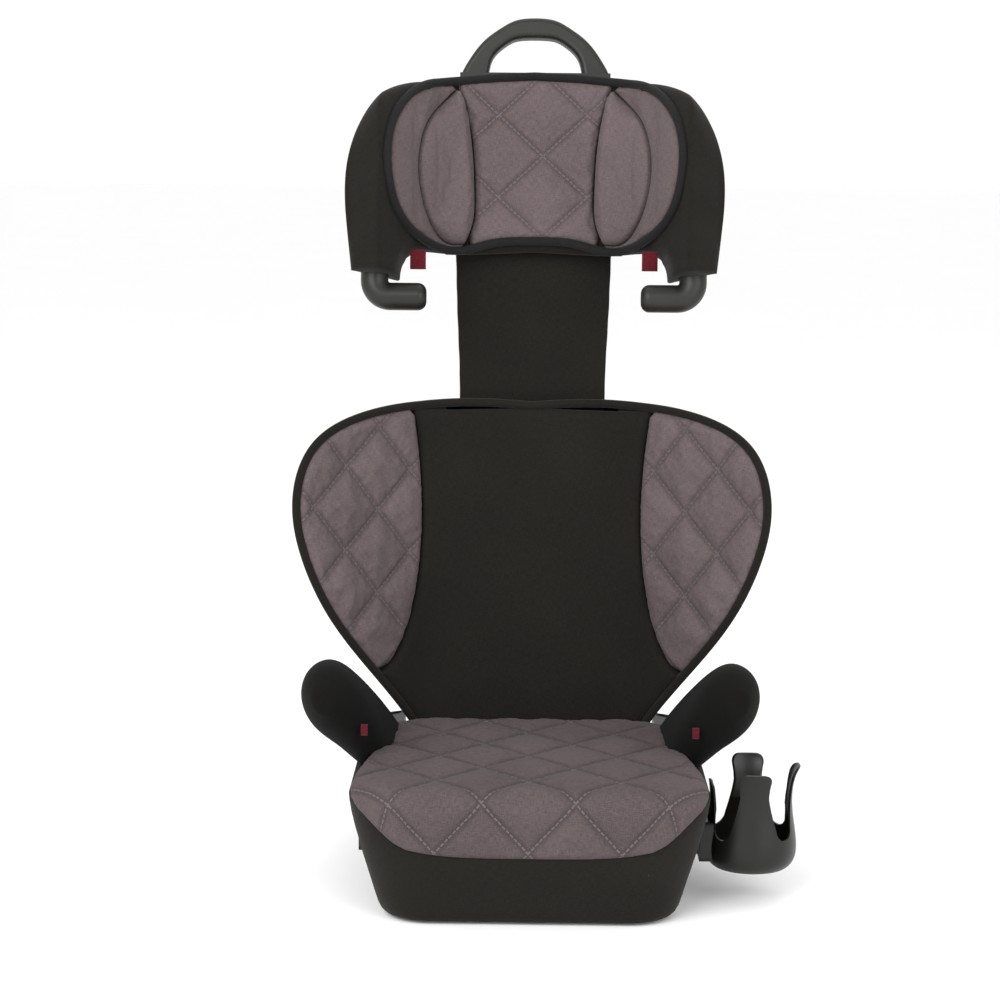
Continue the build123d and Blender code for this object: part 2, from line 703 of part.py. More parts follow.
for side, word in ((-1, "left"), (1, "right")):
    with BuildPart() as hinge_hook:
        with BuildSketch(back_side.offset(side * 76 - 16)):
            Circle(ROD_RADIUS + 6.5)
            with BuildLine():
                Polyline((-25.7, 24), (-25.7, 72), (-20.7, 72), (-20.7, 26), (-2, 11), (-10, -4), close=True)
            make_face()
            Circle(ROD_RADIUS + ROD_RUNNING, mode=Mode.SUBTRACT)
        extrude(amount=32)
        places = [(x, u) for x, u in hook_places if x * side > 0]
        add(back_rods(places, 1.75, -30, -10), mode=Mode.SUBTRACT)
        add(back_rods(places, 4.4, -20.4, -4), mode=Mode.SUBTRACT)
    save(hinge_hook.part, f"back_hinge_hook_{word}")

with BuildPart() as hook_screws:
    add(back_rods(hook_places, 1.65, -29.6, -20))
    add(back_rods(hook_places, 3.8, -20.3, -18.6))
save(hook_screws.part, "hook_screws")

with BuildPart() as height_rail:
    add(back_box(8, LOCK_LEVEL - 110, LOCK_LEVEL + 30, CHANNEL_REAR - RAIL_THICK, CHANNEL_REAR - 0.02))
    for step in range(LOCK_POSITIONS):
        level = LOCK_LEVEL - step * LOCK_STEP
        add(back_box(5, level - 5, level + 5, CHANNEL_REAR - 4, 0), mode=Mode.SUBTRACT)
    add(back_rods(rail_places, 1.75, CHANNEL_REAR - 4, 0), mode=Mode.SUBTRACT)
save(height_rail.part, "height_rail")

with BuildPart() as rail_screws:
    add(back_rods(rail_places, 1.65, CHANNEL_REAR - RAIL_THICK + 0.2, rear_wall + 0.5))
    add(back_rods(rail_places, 3.8, rear_wall + 0.1, rear_wall + 1.8))
save(rail_screws.part, "rail_screws")

# ---------------------------------------------------------------- headrest
FRAME_PLATE = 3
ROD_CHANNEL = 5
frame_floor = STEM_FRONT + FRAME_PLATE
latch_bottom = LOCK_LEVEL - 16
latch_top = LOCK_LEVEL + 16
lever_level = 652
frame_screw_places = [(side * 40, u) for side in (-1, 1) for u in (565, 625)]
head_shell_front_w = HEAD_FRONT + HEAD_SHELL_FRONT


HANDLE_OUTER = [(74, 684), (66, 702), (50, 723), (31, 737), (0, HANDLE_TOP)]  # x, u of the arch from its foot up
HANDLE_INNER = [(46, 690), (42, 705), (28, 719), (0, 725)]


def handle_outline(half_arch):
    """Arch of the carrying handle, seen from the front."""
    with BuildLine() as outline:
        Line((0, half_arch[0][1]), half_arch[0])
        Spline(*half_arch, tangents=[(-0.2, 1), (-1, 0)])
        mirror(about=Plane.YZ)
    make_face(outline.edges())


with BuildPart() as handle_loop:
    with BuildSketch(back_face.offset(-STEM_FRONT - HANDLE_THICK)) as arch:
        handle_outline(HANDLE_OUTER)
    extrude(arch.sketch, amount=HANDLE_THICK)
    with BuildSketch(back_face.offset(-STEM_FRONT - HANDLE_THICK - 1)) as gap:
        handle_outline(HANDLE_INNER)
    extrude(gap.sketch, amount=HANDLE_THICK + 2, mode=Mode.SUBTRACT)
    rounded = handle_loop.edges().filter_by(lambda e: e.length > 60 and (e @ 0.5).Z > in_back(0, 700, 0).Z)
    fillet(rounded, 5)

with BuildPart() as headrest_frame:
    add(back_box(STEM_HALF, STEM_BOTTOM, 690, STEM_FRONT, STEM_REAR))
    add(back_box(74, 660, 690, STEM_FRONT, STEM_REAR + 3))
    # cells behind the plate, between ribs
    for side in (-1, 1):
        for low, high in ((254, 330), (333, 410), (413, 490), (493, 545), (548, 600), (603, 656)):
            cell = back_box(28, low, high, frame_floor, STEM_REAR + 5, centre=side * 37)
            add(cell, mode=Mode.SUBTRACT)
    add(back_box(ROD_CHANNEL, latch_top - 4, 695, frame_floor, STEM_REAR + 5), mode=Mode.SUBTRACT)
    add(back_box(8.6, latch_bottom, latch_top, STEM_FRONT + 1, STEM_REAR + 5), mode=Mode.SUBTRACT)
    add(handle_loop.part)
    add(back_box(34, 636, 688, STEM_REAR - 0.4, 2), mode=Mode.SUBTRACT)
    add(back_rods(frame_screw_places, 1.75, STEM_FRONT - 2, frame_floor + 2), mode=Mode.SUBTRACT)
save(headrest_frame.part, "headrest_frame")

with BuildPart() as release_lever:
    add(back_box(26, lever_level - 10, lever_level + 18, STEM_REAR + 0.2, STEM_REAR + 3.2))
    add(back_box(26, lever_level + 14, lever_level + 18, STEM_REAR + 0.2, STEM_REAR + 10))
    add(back_box(4, lever_level - 10, lever_level + 14, frame_floor + 0.6, STEM_REAR + 1))
save(release_lever.part, "release_lever")

with BuildPart() as pull_rod:
    with BuildSketch(back_plan.offset(LOCK_LEVEL + 10)):
        with Locations((0, (frame_floor + STEM_REAR) / 2)):
            Circle(2)
    extrude(amount=lever_level - 10.2 - LOCK_LEVEL - 10)
save(pull_rod.part, "pull_rod")

with BuildPart() as lock_plunger:
    add(back_box(8, LOCK_LEVEL - 7, LOCK_LEVEL + 7, STEM_REAR - 4.5, STEM_REAR - 0.5))
    add(back_box(4, LOCK_LEVEL - 3.5, LOCK_LEVEL + 3.5, STEM_REAR - 1, CHANNEL_REAR - RAIL_THICK - 0.5))
save(lock_plunger.part, "lock_plunger")

with BuildPart() as rod_cover:
    add(back_box(16, 506, 632, STEM_REAR + 0.05, STEM_REAR + 2.5))
save(rod_cover.part, "rod_cover")

with BuildPart() as headrest_shell:
    add(head_layer(HEAD_SHELL_FRONT, HEAD_SHELL_REAR, (headrest_outline, 4), shorter=4))
    for side in (-1, 1):
        with BuildLine(back_face.offset(-HOOK_W)) as hook_line:
            FilletPolyline((side * HOOK_X, 506), (side * HOOK_X, HOOK_LEVEL), (side * HOOK_TIP, HOOK_LEVEL), radius=15)
        with BuildSketch(Plane(origin=hook_line.line @ 0, z_dir=hook_line.line % 0)) as hook_end:
            Circle(HOOK_RADIUS)
        sweep(hook_end.sketch, path=hook_line.line)
        tip = headrest_shell.edges().filter_by(GeomType.CIRCLE).sort_by(Axis.X)
        fillet(tip.sort_by_distance(in_back(side * HOOK_TIP, HOOK_LEVEL, HOOK_W))[0], 8)
    add(back_rods(frame_screw_places, 1.75, head_shell_front_w - 2, STEM_FRONT + 2), mode=Mode.SUBTRACT)
save(headrest_shell.part, "headrest_shell")

with BuildPart() as frame_screws:
    add(back_rods(frame_screw_places, 1.65, head_shell_front_w + 0.4, frame_floor + 0.2))
    add(back_rods(frame_screw_places, 3.6, frame_floor + 0.02, frame_floor + 1.8))
save(frame_screws.part, "frame_screws")

hook_room = []
for side in (-1, 1):
    with BuildPart() as room:
        with BuildSketch(back_plan.offset(HEAD_BASE)):
            with Locations((side * HOOK_X, HOOK_W)):
                Circle(HOOK_RADIUS + GAP)
        extrude(amount=80)
    hook_room.append(room.part)

with BuildPart() as headrest_foam:
    add(head_layer(FABRIC + 2.8, HEAD_FOAM_REAR, (headrest_outline, FABRIC + 2 * GAP), shorter=4))
    add(head_layer(FABRIC + GAP, 8, (lining_outline, 1)))
    for side in (-1, 1):
        layer = head_layer(HEAD_SHELL_REAR + 0.4, HEAD_SLEEVE_FRONT - GAP, (headrest_outline, 4),
                           (side_strip, HEAD_REAR_OPENING + 4, side), shorter=4)
        add(layer)
    for room in hook_room:
        add(room, mode=Mode.SUBTRACT)
save(headrest_foam.part, "headrest_foam")

with BuildPart() as headrest_cover_centre:
    add(head_layer(0, FABRIC, (lining_outline, 1), (head_centre_outline, -0.2)))
    for side in (-1, 1):
        through_outline(bolster_outline, Mode.SUBTRACT, side, 0.3)
save(headrest_cover_centre.part, "headrest_cover_centre")

for side, word in ((-1, "left"), (1, "right")):
    with BuildPart() as bolster:
        add(head_layer(-9, FABRIC, (bolster_outline, side)))
    save(bolster.part, f"headrest_bolster_{word}")

    with BuildPart() as side_panel:
        add(head_layer(0, FABRIC, (lining_outline, 1), (side_strip, 50, side)))
        through_outline(head_centre_outline, Mode.SUBTRACT, 0.2)
        through_outline(bolster_outline, Mode.SUBTRACT, side, 0.3)
    save(side_panel.part, f"headrest_side_panel_{word}")

    with BuildPart() as opening:
        add(head_layer(-5, 20, (lining_outline, -6)))
    with BuildPart() as sleeve:
        add(head_layer(2, HEAD_SLEEVE_REAR, (headrest_outline, 0), (side_strip, HEAD_REAR_OPENING, side)))
        add(head_layer(FABRIC + 2.5, HEAD_SLEEVE_FRONT, (headrest_outline, FABRIC + GAP), shorter=3.6),
            mode=Mode.SUBTRACT)
        add(opening.part, mode=Mode.SUBTRACT)
        for room in hook_room:
            add(room, mode=Mode.SUBTRACT)
    save(sleeve.part, f"headrest_sleeve_{word}")

    with BuildPart() as tag:
        add(back_box(7.5, 485, 503.5, -103, -101.8, centre=side * 110))
    save(tag.part, f"shoulder_belt_tag_{word}")

with BuildPart() as headrest_binding:
    add(head_layer(-2, 4.6, (lining_outline, -5)))
    through_outline(lining_outline, Mode.SUBTRACT, 0.6)
save(headrest_binding.part, "headrest_rim_binding")

with BuildPart() as neck_cover:
    outer = NECK_SKIN
    add(back_box(STEM_HALF + outer, 335, 503, STEM_FRONT - outer, STEM_REAR + outer))
    fillet(neck_cover.edges().filter_by(lambda e: abs(e.length - 168) < 1), 2)
    add(back_box(STEM_HALF + 0.1, 330, 510, STEM_FRONT - 0.1, STEM_REAR + 0.1), mode=Mode.SUBTRACT)
save(neck_cover.part, "neck_cover")
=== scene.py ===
import math

import bmesh
import bpy
import numpy as np
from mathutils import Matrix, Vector
from mathutils.geometry import delaunay_2d_cdt


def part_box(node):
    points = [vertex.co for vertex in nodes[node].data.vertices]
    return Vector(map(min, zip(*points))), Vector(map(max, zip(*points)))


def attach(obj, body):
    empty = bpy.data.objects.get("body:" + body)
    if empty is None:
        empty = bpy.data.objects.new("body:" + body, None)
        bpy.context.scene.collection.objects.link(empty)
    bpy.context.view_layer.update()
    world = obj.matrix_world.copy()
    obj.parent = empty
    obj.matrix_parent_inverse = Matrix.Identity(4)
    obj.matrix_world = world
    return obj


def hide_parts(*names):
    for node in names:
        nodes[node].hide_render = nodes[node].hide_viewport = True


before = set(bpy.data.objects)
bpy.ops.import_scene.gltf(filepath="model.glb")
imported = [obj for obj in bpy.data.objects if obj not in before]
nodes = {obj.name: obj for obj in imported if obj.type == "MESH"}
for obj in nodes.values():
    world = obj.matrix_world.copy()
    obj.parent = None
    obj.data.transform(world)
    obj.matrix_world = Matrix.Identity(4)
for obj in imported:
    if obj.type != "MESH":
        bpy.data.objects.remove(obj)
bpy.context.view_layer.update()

# ------------------------------------------------------------------ camera
camera_data = bpy.data.cameras.new("camera")
camera = bpy.data.objects.new("camera", camera_data)
bpy.context.scene.collection.objects.link(camera)
bpy.context.scene.camera = camera
CAMERA_AT, CAMERA_AIM, CAMERA_ROLL = (-0.010, -2.2, 0.66), (-0.029, 0.0, 0.344), 0.5  # metres and degrees
camera_data.lens = 88.2
camera_data.sensor_width = 36
camera_data.clip_start, camera_data.clip_end = 0.05, 60
camera.location = CAMERA_AT
camera.rotation_euler = (Vector(CAMERA_AIM) - camera.location).to_track_quat("-Z", "Y").to_euler()
camera.rotation_euler.rotate_axis("Z", math.radians(CAMERA_ROLL))

# ------------------------------------------------------------------ frames
MM = 0.001
LEAN_ANGLE = math.radians(10)
LEAN_SIN, LEAN_COS = math.sin(LEAN_ANGLE), math.cos(LEAN_ANGLE)
HINGE_Y, HINGE_Z = 150.0, 50.0


def lean(x, u, w):
    """Places of the leaning frame (x across, u up the back, w rearward) in millimetres of the row frame."""
    x, u, w = np.broadcast_arrays(*(np.asarray(v, float) for v in (x, u, w)))
    return np.stack([x, HINGE_Y + u * LEAN_SIN + w * LEAN_COS, HINGE_Z + u * LEAN_COS - w * LEAN_SIN], -1)


class Band:
    """Winged section of a back: flat in the middle, then a round fold and a straight wing on each side."""

    def __init__(self, front, fold, angle, radius):
        self.front, self.radius, self.angle = front, radius, math.radians(angle)
        self.flat = fold - radius * math.tan(self.angle / 2)
        self.arc = radius * self.angle
        self.table_s = np.linspace(0, 400, 1601)
        self.table_x = self._curve(self.table_s)[0]

    def _curve(self, s):
        phi = np.clip((s - self.flat) / self.radius, 0, self.angle)
        beyond = np.maximum(s - self.flat - self.arc, 0)
        x = np.minimum(s, self.flat) + self.radius * np.sin(phi) + beyond * math.cos(self.angle)
        w = self.front - self.radius * (1 - np.cos(phi)) - beyond * math.sin(self.angle)
        return x, w, np.sin(phi), np.cos(phi)

    def s_of(self, x):
        """Distance along the front surface for a place across."""
        return np.sign(x) * np.interp(np.abs(x), self.table_x, self.table_s)

    def place(self, s, u, depth):
        """Point at a distance along the section, a height and a depth along its normal."""
        x, w, nx, nw = self._curve(np.abs(s))
        return lean(np.sign(s) * (x + depth * nx), u, w + depth * nw)

    def w_at(self, x, depth):
        """Rearward place of the layer of a given depth, at a place across."""
        ax, r = np.abs(x), self.radius + depth
        centre_w = self.front - self.radius
        end_x, end_w = self.flat + r * math.sin(self.angle), centre_w + r * math.cos(self.angle)
        bent = centre_w + np.sqrt(np.maximum(r * r - np.clip(ax - self.flat, 0, None) ** 2, 0))
        return np.where(ax <= self.flat, self.front + depth,
                        np.where(ax <= end_x, bent, end_w - (ax - end_x) * math.tan(self.angle)))

    def straight_back(self, x, u, depth):
        """Point at a place across on the layer of a given depth, for edges cut straight through."""
        return lean(x, u, self.w_at(x, depth))


BACK = Band(-48, 96, 43, 60)
HEAD = Band(-55, 82, 60, 45)


# ------------------------------------------------------------------ plane curves
def spline(points, step=3.0):
    """Smooth curve through points, as points a step apart."""
    p = np.asarray(points, float)
    t = np.concatenate([[0], np.cumsum(np.linalg.norm(np.diff(p, axis=0), axis=1) ** 0.5)])
    n, h = len(p), np.diff(t)
    a = np.eye(n)
    rhs = np.zeros(p.shape)
    for i in range(1, n - 1):
        a[i, i - 1:i + 2] = h[i - 1], 2 * (h[i - 1] + h[i]), h[i]
        rhs[i] = 6 * ((p[i + 1] - p[i]) / h[i] - (p[i] - p[i - 1]) / h[i - 1])
    m = np.linalg.solve(a, rhs)
    fine = []
    for i in range(n - 1):
        count = max(int(np.ceil(np.linalg.norm(p[i + 1] - p[i]) / step)), 2)
        x = np.linspace(0, h[i], count, endpoint=False)[:, None]
        fine.append(m[i] * (h[i] - x) ** 3 / (6 * h[i]) + m[i + 1] * x ** 3 / (6 * h[i])
                    + (p[i] / h[i] - m[i] * h[i] / 6) * (h[i] - x)
                    + (p[i + 1] / h[i] - m[i + 1] * h[i] / 6) * x)
    return np.vstack(fine + [p[-1:]])


def line(a, b, step=3.0):
    """Straight run of points."""
    a, b = np.asarray(a, float), np.asarray(b, float)
    count = max(int(np.linalg.norm(b - a) / step), 1)
    return a + (b - a) * np.linspace(0, 1, count + 1)[:, None]


def ring(*runs):
    """Closed outline from runs laid end to end, without doubled points."""
    p = np.vstack(runs)
    keep = np.linalg.norm(p - np.roll(p, 1, 0), axis=1) > 0.3
    return p[keep]


def mirrored(half):
    """Closed outline from its right half, drawn from the middle round to the middle."""
    left = half[::-1] * [-1, 1]
    return ring(half, left)


def area(p):
    """Signed area of a closed outline."""
    q = np.roll(p, -1, 0)
    return 0.5 * np.sum(p[:, 0] * q[:, 1] - q[:, 0] * p[:, 1])


def inward(p):
    """Unit normals pointing into a closed outline."""
    d = np.roll(p, -1, 0) - np.roll(p, 1, 0)
    n = np.stack([-d[:, 1], d[:, 0]], 1) * np.sign(area(p))
    return n / np.maximum(np.linalg.norm(n, axis=1, keepdims=True), 1e-9)


def distance(points, outline, chunk=2000):
    """Distance from points to a closed outline."""
    a, b = outline, np.roll(outline, -1, 0)
    ab = b - a
    out = []
    for i in range(0, len(points), chunk):
        q = points[i:i + chunk, None, :] - a[None]
        t = np.clip((q * ab).sum(-1) / np.maximum((ab ** 2).sum(-1), 1e-9), 0, 1)
        out.append(np.sqrt(((q - t[..., None] * ab) ** 2).sum(-1)).min(1))
    return np.concatenate(out)


def inside(points, outline):
    """Which points lie inside a closed outline."""
    x, y = points[:, 0][:, None], points[:, 1][:, None]
    ax, ay = outline[:, 0], outline[:, 1]
    bx, by = np.roll(ax, -1), np.roll(ay, -1)
    crossing = ((ay > y) != (by > y)) & (x < (bx - ax) * (y - ay) / np.where(by == ay, 1e-9, by - ay) + ax)
    return crossing.sum(1) % 2 == 1


def inset(outline, amount):
    """Outline drawn in by an amount, without the loops at its corners."""
    moved = outline + inward(outline) * amount
    ok = distance(moved, outline) > abs(amount) * 0.97 - 0.05
    return moved[ok]


# ------------------------------------------------------------------ meshes
UV_PER_MM = 0.01


def set_uv(obj, uv_of_vertex):
    """UV map of per-vertex plane coordinates, with a hundred millimetres to the UV unit."""
    layer = obj.data.uv_layers.new(name="cloth")
    index = np.zeros(len(obj.data.loops), int)
    obj.data.loops.foreach_get("vertex_index", index)
    layer.data.foreach_set("uv", (uv_of_vertex[index] * UV_PER_MM).astype(np.float32).ravel())


def quilt_gap(quilt):
    """Distance between neighbouring quilting lines; a quilt is a crossing's place and the diamonds' size."""
    return 1 / math.hypot(1 / quilt[2], 1 / quilt[3])


def quilt_distance(p, quilt):
    """Distances of plane points to the two families of quilting lines."""
    a, b = (p[:, 0] - quilt[0]) / quilt[2], (p[:, 1] - quilt[1]) / quilt[3]
    return [np.abs(v - np.round(v)) * quilt_gap(quilt) for v in (a + b, a - b)]


PUFF_FADE, PUFF_EDGE_SHARE = 14.0, 0.15  # millimetres from the edge to full puff, and the share left at the edge
PINCH_WIDTH, PINCH_SHARE, ROUND_WIDTH = 2.6, 0.62, 11.0  # the stitching's sharp pinch, and the soft fall beside it


def quilt_puff(p, quilt, height, edge):
    """Height of quilted diamonds: pinched at the stitching, round between, and fading towards the edge."""
    height = height * np.clip(edge / PUFF_FADE, PUFF_EDGE_SHARE, 1)
    rise = [1 - PINCH_SHARE * np.exp(-d / PINCH_WIDTH) - (1 - PINCH_SHARE) * np.exp(-(d / ROUND_WIDTH) ** 2)
            for d in quilt_distance(p, quilt)]
    return height * (rise[0] * rise[1] - 1)


CLOTH_FRAMES = 20
CLOTH_PRESSURE = 4.0
CLOTH_CAP = 2.5  # millimetres that the pressure may move the cover
SEWN_EDGE, SEWN_QUILT = 1.6, 1.5  # half widths of the cover held by its stitching


def inflate(obj, sewn):
    """Cloth simulation of a padded cover: held where it is sewn, inflated between, its movement capped."""
    rest = np.zeros(len(obj.data.vertices) * 3)
    obj.data.vertices.foreach_get("co", rest)
    group = obj.vertex_groups.new(name="sewn")
    group.add([int(i) for i in np.nonzero(sewn)[0]], 1.0, "REPLACE")
    cloth = obj.modifiers.new("cloth", "CLOTH")
    cloth.settings.quality = 5
    cloth.settings.mass = 0.15
    cloth.settings.tension_stiffness = cloth.settings.compression_stiffness = 10
    cloth.settings.shear_stiffness = 4
    cloth.settings.bending_stiffness = 0.2
    cloth.settings.shrink_min = -0.02
    cloth.settings.vertex_group_mass = "sewn"
    cloth.settings.use_pressure = True
    cloth.settings.uniform_pressure_force = CLOTH_PRESSURE
    cloth.settings.effector_weights.gravity = 0
    cloth.collision_settings.use_collision = False
    cloth.point_cache.frame_start, cloth.point_cache.frame_end = 1, CLOTH_FRAMES
    for step in range(1, CLOTH_FRAMES + 1):
        bpy.context.scene.frame_set(step)
    moved = np.zeros(len(rest))
    obj.evaluated_get(bpy.context.evaluated_depsgraph_get()).data.vertices.foreach_get("co", moved)
    shift = (moved - rest).reshape(-1, 3)
    length = np.linalg.norm(shift, axis=1, keepdims=True)
    largest = round(float(length.max()) / MM, 2)
    print("CLOTH", obj.name, "vertices", len(length), "largest movement mm", largest)
    shift *= np.minimum(1, CLOTH_CAP * MM / np.maximum(length, 1e-9))
    obj.data.vertices.foreach_set("co", rest + shift.ravel())
    obj.modifiers.remove(cloth)
    bpy.context.scene.frame_set(1)


def pad(name, outline, place, front, back, body, spacing=3.2, rims=(0.7, 1.8, 3.4, 5.6, 8.2), inflated=False,
        quilt=None):
    """Closed padded panel over a plane outline. front and back give the depth of each side from the plane
    point and its distance to the edge; place puts a plane point and a depth in the row frame. An inflated
    panel's front is simulated as cloth between its edge and its quilting."""
    outline = np.asarray(outline, float)
    low, high = outline.min(0), outline.max(0)
    loops = [outline]
    for rim in rims:
        moved = outline + inward(outline) * rim
        ok = inside(moved, outline)
        moved = moved[ok]
        loops.append(moved[distance(moved, outline) > rim * 0.96])
    step_y = spacing * math.sqrt(3) / 2
    rows = int((high[1] - low[1]) / step_y) + 2
    cols = int((high[0] - low[0]) / spacing) + 2
    jj, ii = np.meshgrid(np.arange(rows), np.arange(cols), indexing="ij")
    grid = np.stack([low[0] + (ii + 0.5 * (jj % 2)) * spacing, low[1] + jj * step_y], -1).reshape(-1, 2)
    grid = grid[inside(grid, outline)]
    grid = grid[distance(grid, outline) > rims[-1] + spacing * 0.55]
    points = np.vstack(loops + [grid])
    count = len(outline)
    edges = [(i, (i + 1) % count) for i in range(count)]
    verts, _, faces, original, _, _ = delaunay_2d_cdt([Vector(p) for p in points], edges, [], 1, 1e-5)
    flat = np.array([(v.x, v.y) for v in verts])
    edge_distance = distance(flat, outline)
    on_edge = edge_distance < 0.02
    n = len(flat)
    front_depth = front(flat, edge_distance)
    back_depth = back(flat, edge_distance)
    middle = (front(flat, edge_distance * 0) + back(flat, edge_distance * 0)) / 2
    front_depth = np.where(on_edge, middle, front_depth)
    top = place(flat, front_depth)
    bottom = place(flat, back_depth)
    partner = np.arange(n) + n
    partner[on_edge] = np.arange(n)[on_edge]
    all_faces = [tuple(f) for f in faces] + [tuple(int(partner[i]) for i in reversed(f)) for f in faces]
    obj = mesh_object(name, np.vstack([top, bottom]), all_faces, np.vstack([flat, flat]))
    if inflated:
        sewn = edge_distance < SEWN_EDGE
        if quilt:
            sewn |= np.min(quilt_distance(flat, quilt), axis=0) < SEWN_QUILT
        used = sorted({i for f in all_faces for i in f})
        inflate(obj, np.concatenate([sewn, np.ones(n, bool)])[used])
    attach(obj, body)
    return obj


def mesh_object(name, verts_mm, faces, flat):
    """Mesh object of the vertices that its faces use, with its plane coordinates as a UV map."""
    mesh = bpy.data.meshes.new(name)
    used = sorted({i for f in faces for i in f})
    remap = {old: new for new, old in enumerate(used)}
    mesh.from_pydata([tuple(v) for v in np.asarray(verts_mm)[used] * MM], [],
                     [tuple(remap[i] for i in f) for f in faces])
    bm = bmesh.new()
    bm.from_mesh(mesh)
    bmesh.ops.recalc_face_normals(bm, faces=bm.faces)
    bm.to_mesh(mesh)
    bm.free()
    mesh.polygons.foreach_set("use_smooth", [True] * len(mesh.polygons))
    obj = bpy.data.objects.new(name, mesh)
    bpy.context.scene.collection.objects.link(obj)
    set_uv(obj, np.asarray(flat)[used])
    return obj


def rounded(depth, edge, radius, power=2.0):
    """Depth that starts from nothing at the edge and rounds to full within a radius."""
    t = np.clip(edge / radius, 0, 1)
    return depth * (1 - (1 - t) ** power) ** (1 / power)


def grid_object(name, rows, body, wrap_u=False, cap=False):
    """Quad mesh from a (stations, points, 3) array in millimetres, closed around each station's points."""
    rows = np.asarray(rows, float)
    a, b, _ = rows.shape
    faces = []
    for i in range(a if wrap_u else a - 1):
        for j in range(b):
            i2, j2 = (i + 1) % a, (j + 1) % b
            faces.append((i * b + j, i2 * b + j, i2 * b + j2, i * b + j2))
    if cap:
        faces.append(tuple(range(b))[::-1])
        faces.append(tuple((a - 1) * b + j for j in range(b)))
    du = np.concatenate([[0], np.cumsum(np.linalg.norm(np.diff(rows, axis=0), axis=2).mean(1))])
    dv = np.concatenate([[0], np.cumsum(np.linalg.norm(np.diff(rows, axis=1), axis=2).mean(0))])
    uu, vv = np.meshgrid(du, dv, indexing="ij")
    obj = mesh_object(name, rows.reshape(-1, 3), faces, np.stack([vv, uu], -1).reshape(-1, 2))
    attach(obj, body)
    return obj


# ------------------------------------------------------------------ materials
def material(name, metallic=0.0, roughness=0.5, specular=0.5, sheen=0.0, sheen_roughness=0.5):
    """Material with its constant values on the shader's own sockets; returns it and a node adder."""
    mat = bpy.data.materials.new(name)
    mat.use_nodes = True
    tree = mat.node_tree
    shader = tree.nodes["Principled BSDF"]
    shader.inputs["Metallic"].default_value = metallic
    shader.inputs["Roughness"].default_value = roughness
    shader.inputs["Specular IOR Level"].default_value = specular
    shader.inputs["Sheen Weight"].default_value = sheen
    shader.inputs["Sheen Roughness"].default_value = sheen_roughness

    def node(kind, links=(), **values):
        n = tree.nodes.new(kind)
        for key, value in values.items():
            if key.startswith("in_"):
                index = key[3:]
                n.inputs[int(index) if index.isdigit() else index.replace("_", " ")].default_value = value
            else:
                setattr(n, key, value)
        for source, target in links:
            tree.links.new(source, n.inputs[target])
        return n

    def link(source, target):
        tree.links.new(source, shader.inputs[target])

    return mat, node, link


def ramp(node, source, low, high, colour_low, colour_high):
    """Colour ramp between two values."""
    r = node("ShaderNodeValToRGB", [(source, 0)])
    r.color_ramp.elements[0].position, r.color_ramp.elements[1].position = low, high
    r.color_ramp.elements[0].color = (*colour_low, 1)
    r.color_ramp.elements[1].color = (*colour_high, 1)
    return r.outputs["Color"]


def math_node(node, operation, *sources):
    """Math node from sockets or numbers."""
    n = node("ShaderNodeMath", operation=operation)
    for i, source in enumerate(sources):
        if isinstance(source, (int, float)):
            n.inputs[i].default_value = source
        else:
            n.id_data.links.new(source, n.inputs[i])
    return n.outputs[0]


STITCH_COLOUR = (0.105, 0.087, 0.092)
STITCH_HALF_WIDTH, STITCH_LENGTH = 0.75, 5.0  # millimetres
STITCH_GAP = 0.13  # share of the stitch's length that each of its ends leaves bare


